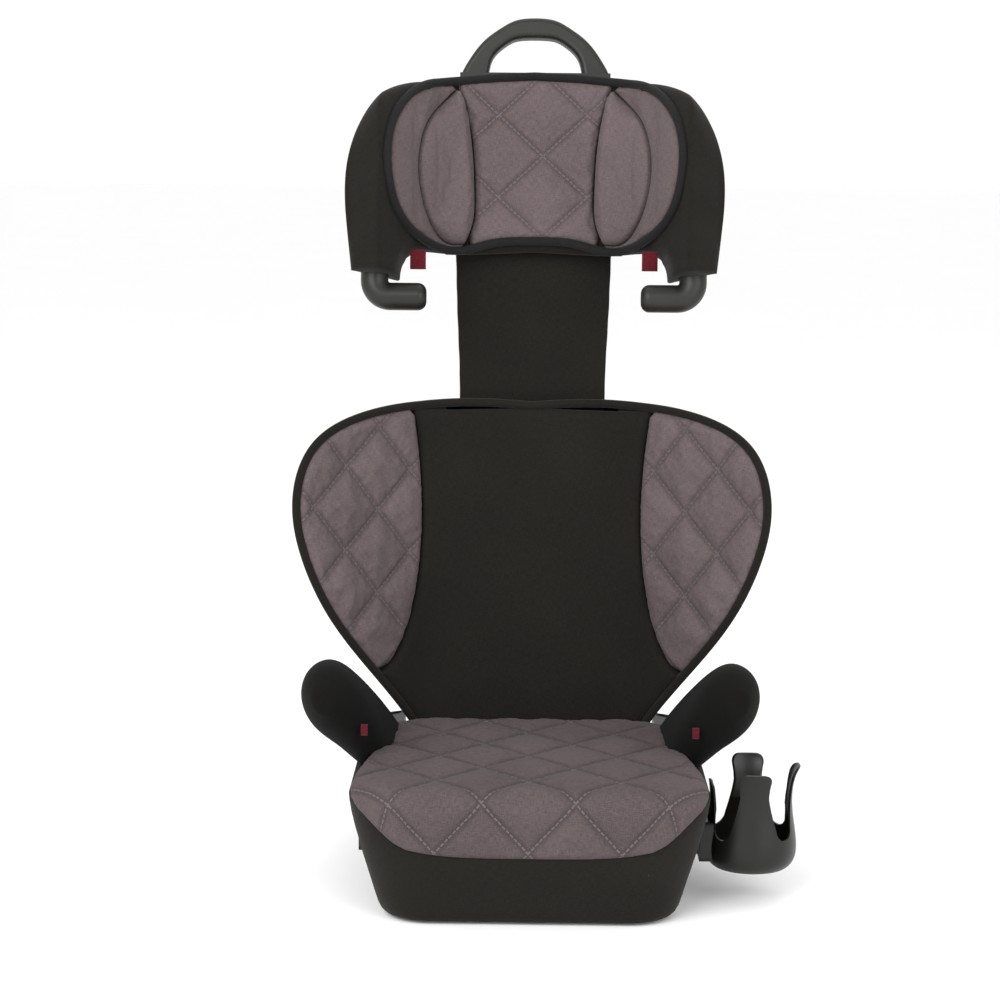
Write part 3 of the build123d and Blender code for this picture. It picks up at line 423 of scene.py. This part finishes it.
def fabric(name, dark, light, thread=1.0, sheen=0.04, bump=0.35, quilt=None):
    """Woven fabric: crossing threads, mottled yarn, and quilting stitches with painted shade beside them where the
    piece has them.
    """
    mat, node, link = material(name, roughness=0.92, specular=0.15, sheen=sheen, sheen_roughness=0.45)
    uv = node("ShaderNodeUVMap", uv_map="cloth").outputs[0]
    split = node("ShaderNodeSeparateXYZ", [(uv, 0)])
    u, v = split.outputs[0], split.outputs[1]
    # one wave of the weave is as long as the thread's pitch in millimetres
    scale = 2 * math.pi / (thread * UV_PER_MM)
    wave_u = math_node(node, "SINE", math_node(node, "MULTIPLY", u, scale))
    wave_v = math_node(node, "SINE", math_node(node, "MULTIPLY", v, scale))
    weave = math_node(node, "MULTIPLY", wave_u, wave_v)
    yarns = []
    for stretch in ((70, 9, 1), (9, 70, 1)):
        mapping = node("ShaderNodeMapping", [(uv, 0)], in_Scale=stretch)
        noise = node("ShaderNodeTexNoise", [(mapping.outputs[0], 0)], in_Scale=2.2, in_Detail=3.0,
                     in_Roughness=0.6)
        yarns.append(noise.outputs[0])
    yarn = math_node(node, "ADD", *yarns)
    broad = node("ShaderNodeTexNoise", [(uv, 0)], in_Scale=0.9, in_Detail=2.0)
    tone = math_node(node, "ADD", math_node(node, "MULTIPLY", yarn, 0.5),
                     math_node(node, "MULTIPLY", math_node(node, "SUBTRACT", broad.outputs[0], 0.5), 0.25))
    tone = math_node(node, "ADD", tone, math_node(node, "MULTIPLY", weave, 0.06))
    colour = ramp(node, tone, 0.36, 0.64, dark, light)
    height = math_node(node, "ADD", math_node(node, "MULTIPLY", weave, 0.5),
                       math_node(node, "MULTIPLY", yarn, 0.8))
    if quilt is not None:
        lines = []
        for sign in (1, -1):
            a = math_node(node, "MULTIPLY", math_node(node, "SUBTRACT", u, quilt[0] * UV_PER_MM),
                          1 / (UV_PER_MM * quilt[2]))
            b = math_node(node, "MULTIPLY", math_node(node, "SUBTRACT", v, quilt[1] * UV_PER_MM),
                          1 / (UV_PER_MM * quilt[3]))
            t = math_node(node, "ADD", a, math_node(node, "MULTIPLY", b, sign))
            other = math_node(node, "SUBTRACT", a, math_node(node, "MULTIPLY", b, sign))
            away = math_node(node, "ABSOLUTE", math_node(node, "SUBTRACT", t, math_node(node, "ROUND", t)))
            away = math_node(node, "MULTIPLY", away, quilt_gap(quilt))
            dash = math_node(node, "PINGPONG",
                             math_node(node, "MULTIPLY", other, quilt_gap(quilt) / STITCH_LENGTH), 0.5)
            on = math_node(node, "MULTIPLY", math_node(node, "LESS_THAN", away, STITCH_HALF_WIDTH),
                           math_node(node, "GREATER_THAN", dash, STITCH_GAP))
            lines.append((away, on))
        near = math_node(node, "MINIMUM", lines[0][0], lines[1][0])
        stitched = math_node(node, "MAXIMUM", lines[0][1], lines[1][1])
        groove = math_node(node, "MULTIPLY", math_node(node, "SUBTRACT", 1.0, math_node(
            node, "MINIMUM", math_node(node, "MULTIPLY", near, 0.55), 1.0)), -2.6)
        height = math_node(node, "ADD", height, groove)
        height = math_node(node, "ADD", height, math_node(node, "MULTIPLY", stitched, 2.4))
        # painted shade: the colour darkens towards the quilting lines, standing in for shade in the stitched
        # grooves
        shade = node("ShaderNodeMapRange", [(near, 0)])
        shade.inputs[1].default_value, shade.inputs[2].default_value = 0.4, 5.0
        shade.inputs[3].default_value, shade.inputs[4].default_value = 0.5, 0.0
        painted_groove_shade = node("ShaderNodeMix", [(shade.outputs[0], 0), (colour, 6)], data_type="RGBA")
        painted_groove_shade.inputs[7].default_value = (*(c * 0.45 for c in dark), 1)
        colour = painted_groove_shade.outputs[2]
        mix = node("ShaderNodeMix", [(stitched, 0), (colour, 6)], data_type="RGBA")
        mix.inputs[7].default_value = (*STITCH_COLOUR, 1)
        colour = mix.outputs[2]
    link(colour, "Base Color")
    bumped = node("ShaderNodeBump", [(height, "Height")], in_Strength=bump, in_Distance=0.0004)
    link(bumped.outputs[0], "Normal")
    return mat


def plastic(name, colour, roughness=0.42, grain=0.25, scale=900.0):
    """Moulded plastic with a fine grain and slight unevenness of gloss."""
    mat, node, link = material(name, roughness=roughness, specular=0.32)
    place = node("ShaderNodeTexCoord").outputs["Object"]
    fine = node("ShaderNodeTexNoise", [(place, 0)], in_Scale=scale, in_Detail=2.0)
    broad = node("ShaderNodeTexNoise", [(place, 0)], in_Scale=14.0, in_Detail=3.0)
    low, high = [tuple(c * f for c in colour) for f in (0.82, 1.18)]
    link(ramp(node, broad.outputs[0], 0.35, 0.65, low, high), "Base Color")
    gloss = node("ShaderNodeMapRange", [(broad.outputs[0], 0)])
    gloss.inputs[3].default_value, gloss.inputs[4].default_value = roughness - 0.06, roughness + 0.08
    link(gloss.outputs[0], "Roughness")
    bumped = node("ShaderNodeBump", [(fine.outputs[0], "Height")], in_Strength=grain, in_Distance=0.0002)
    link(bumped.outputs[0], "Normal")
    return mat


def metal(name, colour):
    """Zinc-plated steel with fine brushing."""
    mat, node, link = material(name, metallic=1.0, roughness=0.32)
    place = node("ShaderNodeTexCoord").outputs["Object"]
    mapping = node("ShaderNodeMapping", [(place, 0)], in_Scale=(40, 900, 900))
    brushed = node("ShaderNodeTexNoise", [(mapping.outputs[0], 0)], in_Scale=1.0, in_Detail=2.0)
    low, high = [tuple(c * f for c in colour) for f in (0.85, 1.1)]
    link(ramp(node, brushed.outputs[0], 0.3, 0.7, low, high), "Base Color")
    bumped = node("ShaderNodeBump", [(brushed.outputs[0], "Height")], in_Strength=0.15, in_Distance=0.0002)
    link(bumped.outputs[0], "Normal")
    return mat


GREY_DARK, GREY_LIGHT = (0.066, 0.05, 0.052), (0.127, 0.098, 0.101)
# painted shade: the seat's copy of the grey quilted fabric is darker, standing in for shade on the seat's top
SEAT_PAINTED_SHADE_DARK, SEAT_PAINTED_SHADE_LIGHT = (0.05, 0.038, 0.0395), (0.097, 0.075, 0.077)
BLACK_DARK, BLACK_LIGHT = (0.0046, 0.0042, 0.0033), (0.0115, 0.0104, 0.0082)
HEAD_QUILT = (8.0, 602.0, 86.0, 80.0)  # a crossing's place, then the diamonds' width and height
WING_QUILTS = {"left": (-122.5, 217.5, 78.0, 79.0), "right": (122.5, 217.5, 78.0, 79.0)}
SEAT_QUILT = (-1.0, -52.0, 80.0, 88.0)
grey = fabric("grey fabric", GREY_DARK, GREY_LIGHT)
grey_head = fabric("grey quilt head", GREY_DARK, GREY_LIGHT, quilt=HEAD_QUILT)
grey_wing = {word: fabric(f"grey quilt {word} wing", GREY_DARK, GREY_LIGHT, quilt=quilt)
             for word, quilt in WING_QUILTS.items()}
grey_seat_painted_shade = fabric("grey quilt seat painted shade", SEAT_PAINTED_SHADE_DARK, SEAT_PAINTED_SHADE_LIGHT, quilt=SEAT_QUILT)
black = fabric("black fabric", BLACK_DARK, BLACK_LIGHT, thread=0.9, sheen=0.05, bump=0.3)
# painted shade: the horns' copy of the black fabric is darker, standing in for shade on the horns
black_horn_painted_shade = fabric("black horn fabric painted shade", (0.0012, 0.0011, 0.0009), (0.0035, 0.0031, 0.0025), thread=0.9,
                    sheen=0.02, bump=0.3)
tape = fabric("black tape", (0.006, 0.006, 0.006), (0.013, 0.012, 0.012), thread=1.6, sheen=0.04, bump=0.5)
red = fabric("red webbing", (0.055, 0.003, 0.007), (0.11, 0.006, 0.012), thread=1.2, sheen=0.2, bump=0.5)
dark_plastic = plastic("dark plastic", (0.0098, 0.0094, 0.008))
cup_plastic = plastic("cup plastic", (0.0052, 0.0048, 0.0041), roughness=0.36)
shell_plastic = plastic("shell plastic", (0.012, 0.012, 0.0115), roughness=0.5, grain=0.4, scale=700)
red_plastic = plastic("red plastic", (0.25, 0.012, 0.012))
steel = metal("zinc plated steel", (0.56, 0.56, 0.57))
rubber = plastic("rubber", (0.015, 0.015, 0.015), roughness=0.75, grain=0.5, scale=500)


def finish(obj, mat, stands_for=()):
    """Material of a new piece, with the carried-over parts that it stands for hidden."""
    obj.data.materials.clear()
    obj.data.materials.append(mat)
    if stands_for:
        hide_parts(*stands_for)
    return obj


# ------------------------------------------------------------------ backrest
LEAF_HALF = np.vstack([
    line((0, 14), (94, 14)),
    spline([(94, 14), (113, 52), (150, 102), (190, 158), (216, 222), (220, 272), (203, 318), (156, 350), (80, 366),
            (0, 364)]),
])
LEAF = mirrored(LEAF_HALF)
SEAM = spline([(156, 88), (131, 113), (112, 165), (104, 235), (109, 330), (123, 400)])


def to_band(band, outline):
    """Front outline as distances along the band and heights."""
    return np.stack([band.s_of(outline[:, 0]), outline[:, 1]], -1)


WING_MIDDLE = (100, 230)


def clip_beyond(outline, seam, side, shift):
    """Part of an outline beyond a seam on one side."""
    seam = seam + [shift, 0]
    kept = outline[side * outline[:, 0] > np.interp(outline[:, 1], seam[:, 1], seam[:, 0])]
    middle_x, middle_u = WING_MIDDLE
    kept = kept[np.argsort(np.arctan2(kept[:, 1] - middle_u, side * kept[:, 0] - middle_x))]
    low, high = kept[0, 1], kept[-1, 1]
    run = seam[(seam[:, 1] > low + 2) & (seam[:, 1] < high - 2)] * [side, 1]
    return ring(kept, run[::-1])


leaf_inner = inset(LEAF, 6.6)
for side, word in ((-1, "left"), (1, "right")):
    outline = to_band(BACK, clip_beyond(leaf_inner, SEAM, side, 0.4))

    def front(p, edge, quilt=WING_QUILTS[word]):
        full = -3.4 - quilt_puff(p, quilt, 4.6, edge)
        return rounded(1, edge, 9) * (full - 5.0) + 5.0

    wing = pad(f"back_wing_{word}", outline, lambda p, d: BACK.place(p[:, 0], p[:, 1], d), front,
               lambda p, edge: 5.0 + rounded(7.0, edge, 6), "backrest", inflated=True,
               quilt=WING_QUILTS[word])
    finish(wing, grey_wing[word], [f"back_wing_pad_{word}"])

right_run = SEAM[SEAM[:, 1] <= 358] - [0.4, 0]
right_run = right_run[inside(right_run, leaf_inner)]
lower_run = leaf_inner[(leaf_inner[:, 0] > 60) & (leaf_inner[:, 1] < right_run[0, 1])]
lower_run = lower_run[np.argsort(lower_run[:, 1])]
centre = mirrored(np.vstack([line((0, 21), (86, 21)), lower_run, right_run, line(right_run[-1], (0, 358))]))
back_centre = pad("back_centre", to_band(BACK, ring(centre)), lambda p, d: BACK.place(p[:, 0], p[:, 1], d),
                  lambda p, edge: 4.0 - rounded(6.0, edge, 10), lambda p, edge: 4.0 + rounded(12.5, edge, 10),
                  "backrest", spacing=5.0)
finish(back_centre, black, ["back_cover_centre", "back_foam"])

# inset from the leaf's outline and depth, from the front's hem round the edge to the rear hem
BORDER_SECTION = [
    (7.6, 3.0), (6.6, -0.6), (4.0, -1.6), (1.2, -1.0), (-0.4, 1.6), (-1.0, 8), (-1.4, 18), (-1.0, 28), (0.0, 34),
    (2.4, 37.4), (7, 38.2), (13, 38.0), (17.0, 36.9), (17.0, 35.4), (8, 35.0), (3.4, 33.0), (2.6, 20), (3.0, 6),
]
rows = []
for inset_by, depth in BORDER_SECTION:
    moved = LEAF + inward(LEAF) * inset_by
    rows.append(BACK.straight_back(moved[:, 0], moved[:, 1], depth))
rows = np.stack(rows, 1)
border = grid_object("back_edge_band", rows, "backrest", wrap_u=True)
finish(border, black, ["back_cover_border", "back_mouth_binding"])

# ------------------------------------------------------------------ headrest
HEAD_HALF = np.vstack([
    spline([(0, 682), (80, 675.5), (122, 665), (158.5, 631), (177, 572), (175.5, 520), (171, 479)]),
    line((171, 479), (128, 476)),
    spline([(128, 476), (125, 494), (114, 505), (96, 508), (72, 508), (36, 512), (0, 516)]),
])
LINING = mirrored(spline([
    (0, 678), (70, 673), (106, 660), (130, 625), (136, 580), (125, 534), (102, 515), (74, 510.5), (40, 518.5),
    (0, 521),
]))


def head_place(p, d):
    """Place of points given along the headrest's band, at a depth."""
    return HEAD.place(p[:, 0], p[:, 1], d)


head_core = mirrored(np.vstack([
    line((0, 678), (80, 674)),
    line((80, 674), (80, 506)),
    line((80, 506), (0, 510)),
]))
core = pad("headrest_core", head_core, head_place, lambda p, e: 13 - rounded(9.0, e, 8),
           lambda p, e: 13 + rounded(10.5, e, 8), "headrest", spacing=6)
finish(core, black, ["headrest_foam"])

CUFF_HEM, CUFF_TOP, CUFF_INNER = 493.0, 505.0, 124.0
WING_END_X, WING_END_W, WING_END_SLOPE = 143.0, -160.7, 0.577  # plane of the wing's end face


def sleeve_depths(p):
    """Rearward places of a sleeve's front and rear, where the wing's end face cuts its front short."""
    x = np.abs(p[:, 0])
    front_w = np.maximum(HEAD.w_at(x, 2.0), WING_END_W + (x - WING_END_X) * WING_END_SLOPE)
    return front_w, np.maximum(HEAD.w_at(x, 40.0), front_w + 1.5)


def sleeve_side(p, edge, rear):
    """Sleeve surface: puffed between its edges, drawn in at the cuff's hem."""
    front_w, rear_w = sleeve_depths(p)
    x = np.abs(p[:, 0])
    cuff = (p[:, 1] < CUFF_TOP) & (x > CUFF_INNER)
    rise = rounded(1.0, edge, np.where(cuff, 5.0, 17.0), 2.2)
    hem = 1.1 * np.exp(-((p[:, 1] - CUFF_HEM) / 1.6) ** 2) * (x > CUFF_INNER)
    wrinkle = 0.7 * np.sin(p[:, 1] * 0.13 + x * 0.05) * np.clip(edge / 12, 0, 1) * (x > 130)
    middle = (front_w + rear_w) / 2
    half = (rear_w - front_w) / 2
    return middle + (1 if rear else -1) * np.maximum(half * rise - hem - wrinkle * (half > 5), 0.3 * rise)


for side, word in ((-1, "left"), (1, "right")):
    run = HEAD_HALF[HEAD_HALF[:, 0] >= 78]
    outline = ring(run, line(run[-1], run[0])) * [side, 1]
    sleeve = pad(f"headrest_sleeve_soft_{word}", outline, lambda p, w: lean(p[:, 0], p[:, 1], w),
                 lambda p, e: sleeve_side(p, e, False), lambda p, e: sleeve_side(p, e, True), "headrest",
                 rims=(0.8, 2.0, 4, 6.5, 9.5))
    finish(sleeve, black, [f"headrest_sleeve_{word}"])

lining_inner = inset(LINING, 1.2)
LENS_IN = spline([(75, 666), (67, 645), (60, 606), (58, 568), (59, 538), (67, 516)])
LENS_OUT = spline([(67, 516), (84, 516), (99, 534), (108, 566), (109, 594), (100, 632), (75, 666)])


# centre panel: the lining between the two bolsters
levels = np.linspace(523, 662, 48)
right = np.stack([np.interp(levels, LENS_IN[::-1, 1], LENS_IN[::-1, 0]) - 0.5, levels], -1)
top_run = lining_inner[(lining_inner[:, 1] > 640) & (lining_inner[:, 0] >= 0) & (lining_inner[:, 0] <= 74)]
top_run = top_run[np.argsort(-top_run[:, 0])]
low_run = lining_inner[(lining_inner[:, 1] < 560) & (lining_inner[:, 0] >= 0) & (lining_inner[:, 0] <= 61)]
low_run = low_run[np.argsort(low_run[:, 0])]
centre = mirrored(np.vstack([low_run, right, top_run]))
head_centre = pad("headrest_centre", to_band(HEAD, ring(centre)), head_place,
                  lambda p, e: 2.4 - rounded(1, e, 8) * (6.0 + quilt_puff(p, HEAD_QUILT, 4.4, e)),
                  lambda p, e: 3.0 + rounded(1.5, e, 3), "headrest", spacing=2.6, inflated=True,
                  quilt=HEAD_QUILT)
finish(head_centre, grey_head, ["headrest_cover_centre"])

for side, word in ((-1, "left"), (1, "right")):
    def bolster_front(p, e):
        """The bolster is fullest along its inner seam."""
        thickness = 21 - 12 * np.clip((np.abs(p[:, 0]) - 64) / 46, 0, 1)
        return 2.5 - rounded(1, e, 17, 2.2) * thickness

    lens = ring(LENS_OUT, LENS_IN) * [side, 1]
    bolster = pad(f"headrest_bolster_soft_{word}", to_band(HEAD, lens), head_place,
                  bolster_front, lambda p, e: 2.5 + rounded(1.2, e, 3), "headrest", spacing=2.6, inflated=True)
    finish(bolster, grey, [f"headrest_bolster_{word}"])
    x, u = lining_inner.T
    outer_run = lining_inner[(x > 77) | ((x > 68) & (u < 560))]
    outer_run = outer_run[np.argsort(np.arctan2(outer_run[:, 1] - 590, outer_run[:, 0] - 76))]
    crescent = ring(outer_run, (LENS_OUT + [0.6, 0])[::-1]) * [side, 1]
    panel = pad(f"headrest_side_{word}", to_band(HEAD, crescent), head_place,
                lambda p, e: 3.0 - rounded(7.0, e, 12), lambda p, e: 3.0 + rounded(1.5, e, 3), "headrest",
                spacing=2.6, inflated=True)
    finish(panel, grey, [f"headrest_side_panel_{word}"])


def tube_around(name, path_points, radius, body):
    """Piping: a round tube along a closed path of row-frame points in millimetres."""
    p = np.asarray(path_points, float)
    tangent = np.roll(p, -1, 0) - np.roll(p, 1, 0)
    tangent /= np.linalg.norm(tangent, axis=1, keepdims=True)
    a = np.cross(tangent, np.array([0, 1.0, 0.2]))
    a /= np.linalg.norm(a, axis=1, keepdims=True)
    b = np.cross(tangent, a)
    angles = np.linspace(0, 2 * math.pi, 12, endpoint=False)
    around = a[:, None] * np.cos(angles)[None, :, None] + b[:, None] * np.sin(angles)[None, :, None]
    rows = p[:, None] + radius * around
    return grid_object(name, rows, body, wrap_u=True)


piping_line = to_band(HEAD, inset(LINING, -1.8))
piping_points = head_place(piping_line, np.full(len(piping_line), -0.4))
piping = tube_around("headrest_piping", piping_points, 4.1, "headrest")
finish(piping, tape, ["headrest_rim_binding"])

# neck sleeve round the stem, a rounded rectangle in section
NECK_W, NECK_HALF_DEPTH, NECK_POWER = -18.5, 8.2, 0.28
levels = np.linspace(336, 518, 60)
angles = np.linspace(0, 2 * math.pi, 96, endpoint=False)
rows = []
for u in levels:
    half_width = np.interp(u, [336, 400, 460, 518], [70.4, 71.6, 74.6, 76.5])
    cos, sin = np.cos(angles), np.sin(angles)
    x = half_width * np.sign(cos) * np.abs(cos) ** NECK_POWER
    w = NECK_W + NECK_HALF_DEPTH * np.sign(sin) * np.abs(sin) ** NECK_POWER
    ripple = 0.12 * np.sin(u * 0.21 + 2.0 * np.sin(x * 0.05)) * (np.abs(x) / 72) ** 3
    rows.append(lean(x + np.sign(x) * ripple, u, w))
neck = grid_object("neck_sleeve", np.stack(rows), "headrest", cap=True)
finish(neck, black, ["neck_cover"])

# tags: waved webbing, one millimetre thick
for side, word in ((-1, "left"), (1, "right")):
    for node_name, body, piece in ((f"shoulder_belt_tag_{word}", "headrest", f"shoulder_tag_{word}"),
                                   (f"lap_belt_tag_{word}", "base", f"lap_tag_{word}")):
        low, high = (np.array(v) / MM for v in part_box(node_name))
        if body == "base":
            low, high = low + [2.0, 0, 4.0], high - [2.0, 0, 0]
        across = np.linspace(low[0], high[0], 9)
        down = np.linspace(high[2], low[2], 9)
        mid = (low[1] + high[1]) / 2
        around = [(x, -0.5) for x in across] + [(x, 0.5) for x in across[::-1]]
        rows = np.array([[(x, mid + half - 0.8 * math.sin((z - low[2]) / 4), z) for x, half in around]
                         for z in down])
        tag = grid_object(piece, rows, body, cap=True)
        finish(tag, red, [node_name])

# ------------------------------------------------------------------ seat
SEAT_LEVEL, SEAT_ROLL = 115.5, 15.0  # height of the seat's edge before its roll, radius of the roll
HALF_X, HALF_Y, CORNER = 157.0, 184.0, 52.0
FLARE_Y = 12 / 29  # the base narrows less from front to rear than across


def rounded_distance(p, half_x, half_y, corner):
    """Signed distance to a rounded rectangle, with the nearest direction outward."""
    q = np.abs(p) - [half_x - corner, half_y - corner]
    out = np.maximum(q, 0)
    length = np.linalg.norm(out, axis=1)
    sd = length + np.minimum(np.maximum(q[:, 0], q[:, 1]), 0) - corner
    flat_dir = np.where((q[:, 0] > q[:, 1])[:, None], [[1.0, 0.0]], [[0.0, 1.0]])
    direction = np.where(length[:, None] > 1e-6, out / np.maximum(length, 1e-6)[:, None], flat_dir)
    return sd, direction * np.where(p >= 0, 1.0, -1.0)


def flare_in(z):
    """How far the base's side is drawn in at a height."""
    return np.interp(z, [2.5, 45, 85, 106, 121], [29, 14, 4, 0, 0])


def seat_place(p, d):
    """Seat fabric laid over the base: flat on top, rolled over the edge and down the front."""
    sd, outward = rounded_distance(p, HALF_X, HALF_Y, CORNER)
    over = sd + SEAT_ROLL
    angle = np.clip(over / SEAT_ROLL, 0, math.pi / 2)
    drop = np.maximum(over - SEAT_ROLL * math.pi / 2, 0)
    top = SEAT_LEVEL + 1.8 * (1 - (p[:, 0] / 150) ** 2) * (p[:, 1] < 400)
    radial = np.where(over > 0, -over + SEAT_ROLL * np.sin(angle), 0)
    z = top - SEAT_ROLL * (1 - np.cos(angle)) - drop
    drawn = flare_in(z) * (over > SEAT_ROLL)
    base = np.stack([p[:, 0] + outward[:, 0] * (radial - drawn),
                     p[:, 1] + outward[:, 1] * (radial - drawn * FLARE_Y), z], -1)
    normal = np.stack([outward[:, 0] * np.sin(angle), outward[:, 1] * np.sin(angle), np.cos(angle)], -1)
    return base - normal * d[:, None]


SEAT_HALF = spline([
    (0, 88), (70, 88), (112, 86), (132, 70), (139, 30), (141, -20), (146, -60), (152, -100), (156, -135),
    (155, -165), (147, -191), (130, -214), (108, -225), (80, -231), (40, -233.5), (0, -234),
])
seat = pad("seat_panel", mirrored(SEAT_HALF), seat_place,
           lambda p, e: 2.0 - rounded(1, e, 6) * (6.6 + quilt_puff(p, SEAT_QUILT, 3.8, e)),
           lambda p, e: 3.0 + rounded(9.0, e, 8) * (p[:, 1] > -165) + rounded(0.6, e, 2), "base", spacing=3.0,
           inflated=True, quilt=SEAT_QUILT)
finish(seat, grey_seat_painted_shade, ["seat_cover_panel", "seat_cover_front", "seat_foam"])

# skirt: a black band round the base, as heights and how far each is drawn in from the base's side
SKIRT_STATIONS, SKIRT_THICK = 260, 2.6
SKIRT = [
    (106.5, 3.4), (106.2, 0.2), (100, -0.4), (90, -0.6), (78, -0.4), (66, 0.0), (54, 0.2), (42, 0.6), (30, 0.1),
    (20, -0.4), (11, -0.6), (6, 0.2), (3.2, 1.8), (2.6, 5.5),
]


def round_rect(half_x, half_y, corner, count):
    """Points round a rounded rectangle, evenly spaced along it."""
    quarter = []
    for cx, cy, start in ((1, 1, 0), (-1, 1, 90), (-1, -1, 180), (1, -1, 270)):
        a = np.radians(np.linspace(start, start + 90, 24))
        quarter.append(np.stack([cx * (half_x - corner) + corner * np.cos(a),
                                 cy * (half_y - corner) + corner * np.sin(a)], -1))
    p = np.vstack(quarter)
    p = np.vstack([p, p[:1]])
    length = np.concatenate([[0], np.cumsum(np.linalg.norm(np.diff(p, axis=0), axis=1))])
    at = np.linspace(0, length[-1], count, endpoint=False)
    return np.stack([np.interp(at, length, p[:, 0]), np.interp(at, length, p[:, 1])], -1)


rows = []
for z, drawn in SKIRT:
    inn = flare_in(z) + drawn
    corner = np.interp(z, [2.5, 45, 85, 106], [40, 46, 50, 52])
    p = round_rect(HALF_X - inn, HALF_Y - inn * FLARE_Y, corner, SKIRT_STATIONS)
    rows.append(np.column_stack([p, np.full(SKIRT_STATIONS, z)]))
outer = np.stack(rows)
back = outer[::-1]
thickness = np.stack([np.sign(back[..., 0]) * SKIRT_THICK * (np.abs(back[..., 0]) > 100),
                      np.sign(back[..., 1]) * SKIRT_THICK * (np.abs(back[..., 1]) > 120),
                      np.zeros(back.shape[:2])], -1)
rows = np.concatenate([outer, back - thickness])
skirt = grid_object("seat_skirt", rows.transpose(1, 0, 2), "base", wrap_u=True)
# opening at the rear, where the backrest's hooks and the hinge rod stand, in metres
GAP_Y, GAP_HALF_X, GAP_Z = 0.15, 0.126, 0.016
bm = bmesh.new()
bm.from_mesh(skirt.data)
middles = [(f, f.calc_center_median()) for f in bm.faces]
gone = [f for f, m in middles if m.y > GAP_Y and abs(m.x) < GAP_HALF_X and m.z > GAP_Z]
bmesh.ops.delete(bm, geom=gone, context="FACES")
bm.to_mesh(skirt.data)
bm.free()
finish(skirt, black, ["seat_cover_skirt"])

# horns: sections from rear to nose, as y, x, z, half thickness, half height and tilt in degrees
HORN = [
    (84, 127, 97, 8, 11, 20), (56, 135, 110, 12, 30, 22), (20, 146, 128, 15, 46, 24), (-20, 158, 146, 18, 52, 24),
    (-52, 169, 163, 21, 42, 24), (-78, 177, 173, 21, 31, 22), (-95, 180, 177, 14, 20, 20),
    (-103, 181, 179, 8, 12, 20),
]
HORN_CLOTH = 3.4  # the cover's stand-off from the horn's own section
for side, word in ((-1, "left"), (1, "right")):
    around = np.linspace(0, 2 * math.pi, 72, endpoint=False)
    rows = []
    for y, x, z, thick, high, tilt in spline(HORN):
        a = math.radians(tilt)
        ex, ez = (thick + HORN_CLOTH) * np.cos(around), (high + HORN_CLOTH) * np.sin(around)
        px = x + ex * math.cos(a) + ez * math.sin(a)
        pz = z - ex * math.sin(a) + ez * math.cos(a)
        rows.append(np.stack([side * px, np.full(72, y), pz], -1))
    last = rows[-1]
    centre_point = last.mean(0)
    for k in (0.86, 0.6, 0.3, 0.06):
        nose = centre_point + (last - centre_point) * k
        nose[:, 1] = last[:, 1] - 4.2 * math.sqrt(1 - k * k)
        rows.append(nose)
    horn_piece = grid_object(f"horn_cover_soft_{word}", np.stack(rows), "base", cap=True)
    finish(horn_piece, black_horn_painted_shade, [f"horn_cover_{word}"])

# ------------------------------------------------------------------ carried-over CAD nodes
CAD_LOOK = {
    "base_shell": shell_plastic, "base_pan": shell_plastic, "back_shell": shell_plastic, "base_feet": rubber,
    "cup_socket_left": dark_plastic, "cup_socket_right": dark_plastic, "cup_holder": cup_plastic,
    "headrest_frame": dark_plastic, "headrest_shell": dark_plastic, "rod_cover": dark_plastic,
    "back_hinge_hook_left": dark_plastic, "back_hinge_hook_right": dark_plastic, "lock_plunger": dark_plastic,
    "release_lever": red_plastic, "hinge_rod": steel, "pan_screws": steel, "hook_screws": steel,
    "rail_screws": steel, "frame_screws": steel, "height_rail": steel, "pull_rod": steel,
}
for name, look in CAD_LOOK.items():
    obj = nodes[name]
    if not obj.material_slots:
        obj.data.materials.append(look)
    for slot in obj.material_slots:
        slot.material = look

# ------------------------------------------------------------------ studio
def stage_plane(name, size, z, colour):
    """Matt floor under the object."""
    mesh = bpy.data.meshes.new(name)
    corners = [(-size, -size, z), (size, -size, z), (size, size, z), (-size, size, z)]
    mesh.from_pydata(corners, [], [(0, 1, 2, 3)])
    obj = bpy.data.objects.new(name, mesh)
    bpy.context.scene.collection.objects.link(obj)
    mat, node, link = material(name, roughness=0.6, specular=0.2)
    place = node("ShaderNodeTexCoord").outputs["Object"]
    soft = node("ShaderNodeTexNoise", [(place, 0)], in_Scale=1.5)
    link(ramp(node, soft.outputs[0], 0.3, 0.7, tuple(c * 0.99 for c in colour), colour), "Base Color")
    obj.data.materials.append(mat)


stage_plane("floor", 40, -0.0005, (0.97, 0.97, 0.97))
world = bpy.data.worlds.new("studio")
bpy.context.scene.world = world
world.use_nodes = True
world.node_tree.nodes["Background"].inputs[0].default_value = (1, 1, 1, 1)
world.node_tree.nodes["Background"].inputs[1].default_value = 1.02


def area_light(name, place, target, size, power):
    """Rectangular light at a place, aimed at a target, in metres and watts."""
    data = bpy.data.lights.new(name, "AREA")
    data.shape, data.size, data.size_y, data.energy = "RECTANGLE", size[0], size[1], power
    obj = bpy.data.objects.new(name, data)
    obj.location = place
    obj.rotation_euler = (Vector(target) - Vector(place)).to_track_quat("-Z", "Y").to_euler()
    bpy.context.scene.collection.objects.link(obj)


area_light("key", (-1.4, -2.3, 1.7), (0, 0, 0.4), (2.0, 1.8), 74)
area_light("fill", (1.8, -2.1, 1.3), (0, 0, 0.35), (2.0, 1.8), 38)
area_light("top", (0, 0.6, 2.6), (0, 0, 0.4), (2.0, 1.2), 10)
bpy.context.scene.view_settings.view_transform = "Standard"
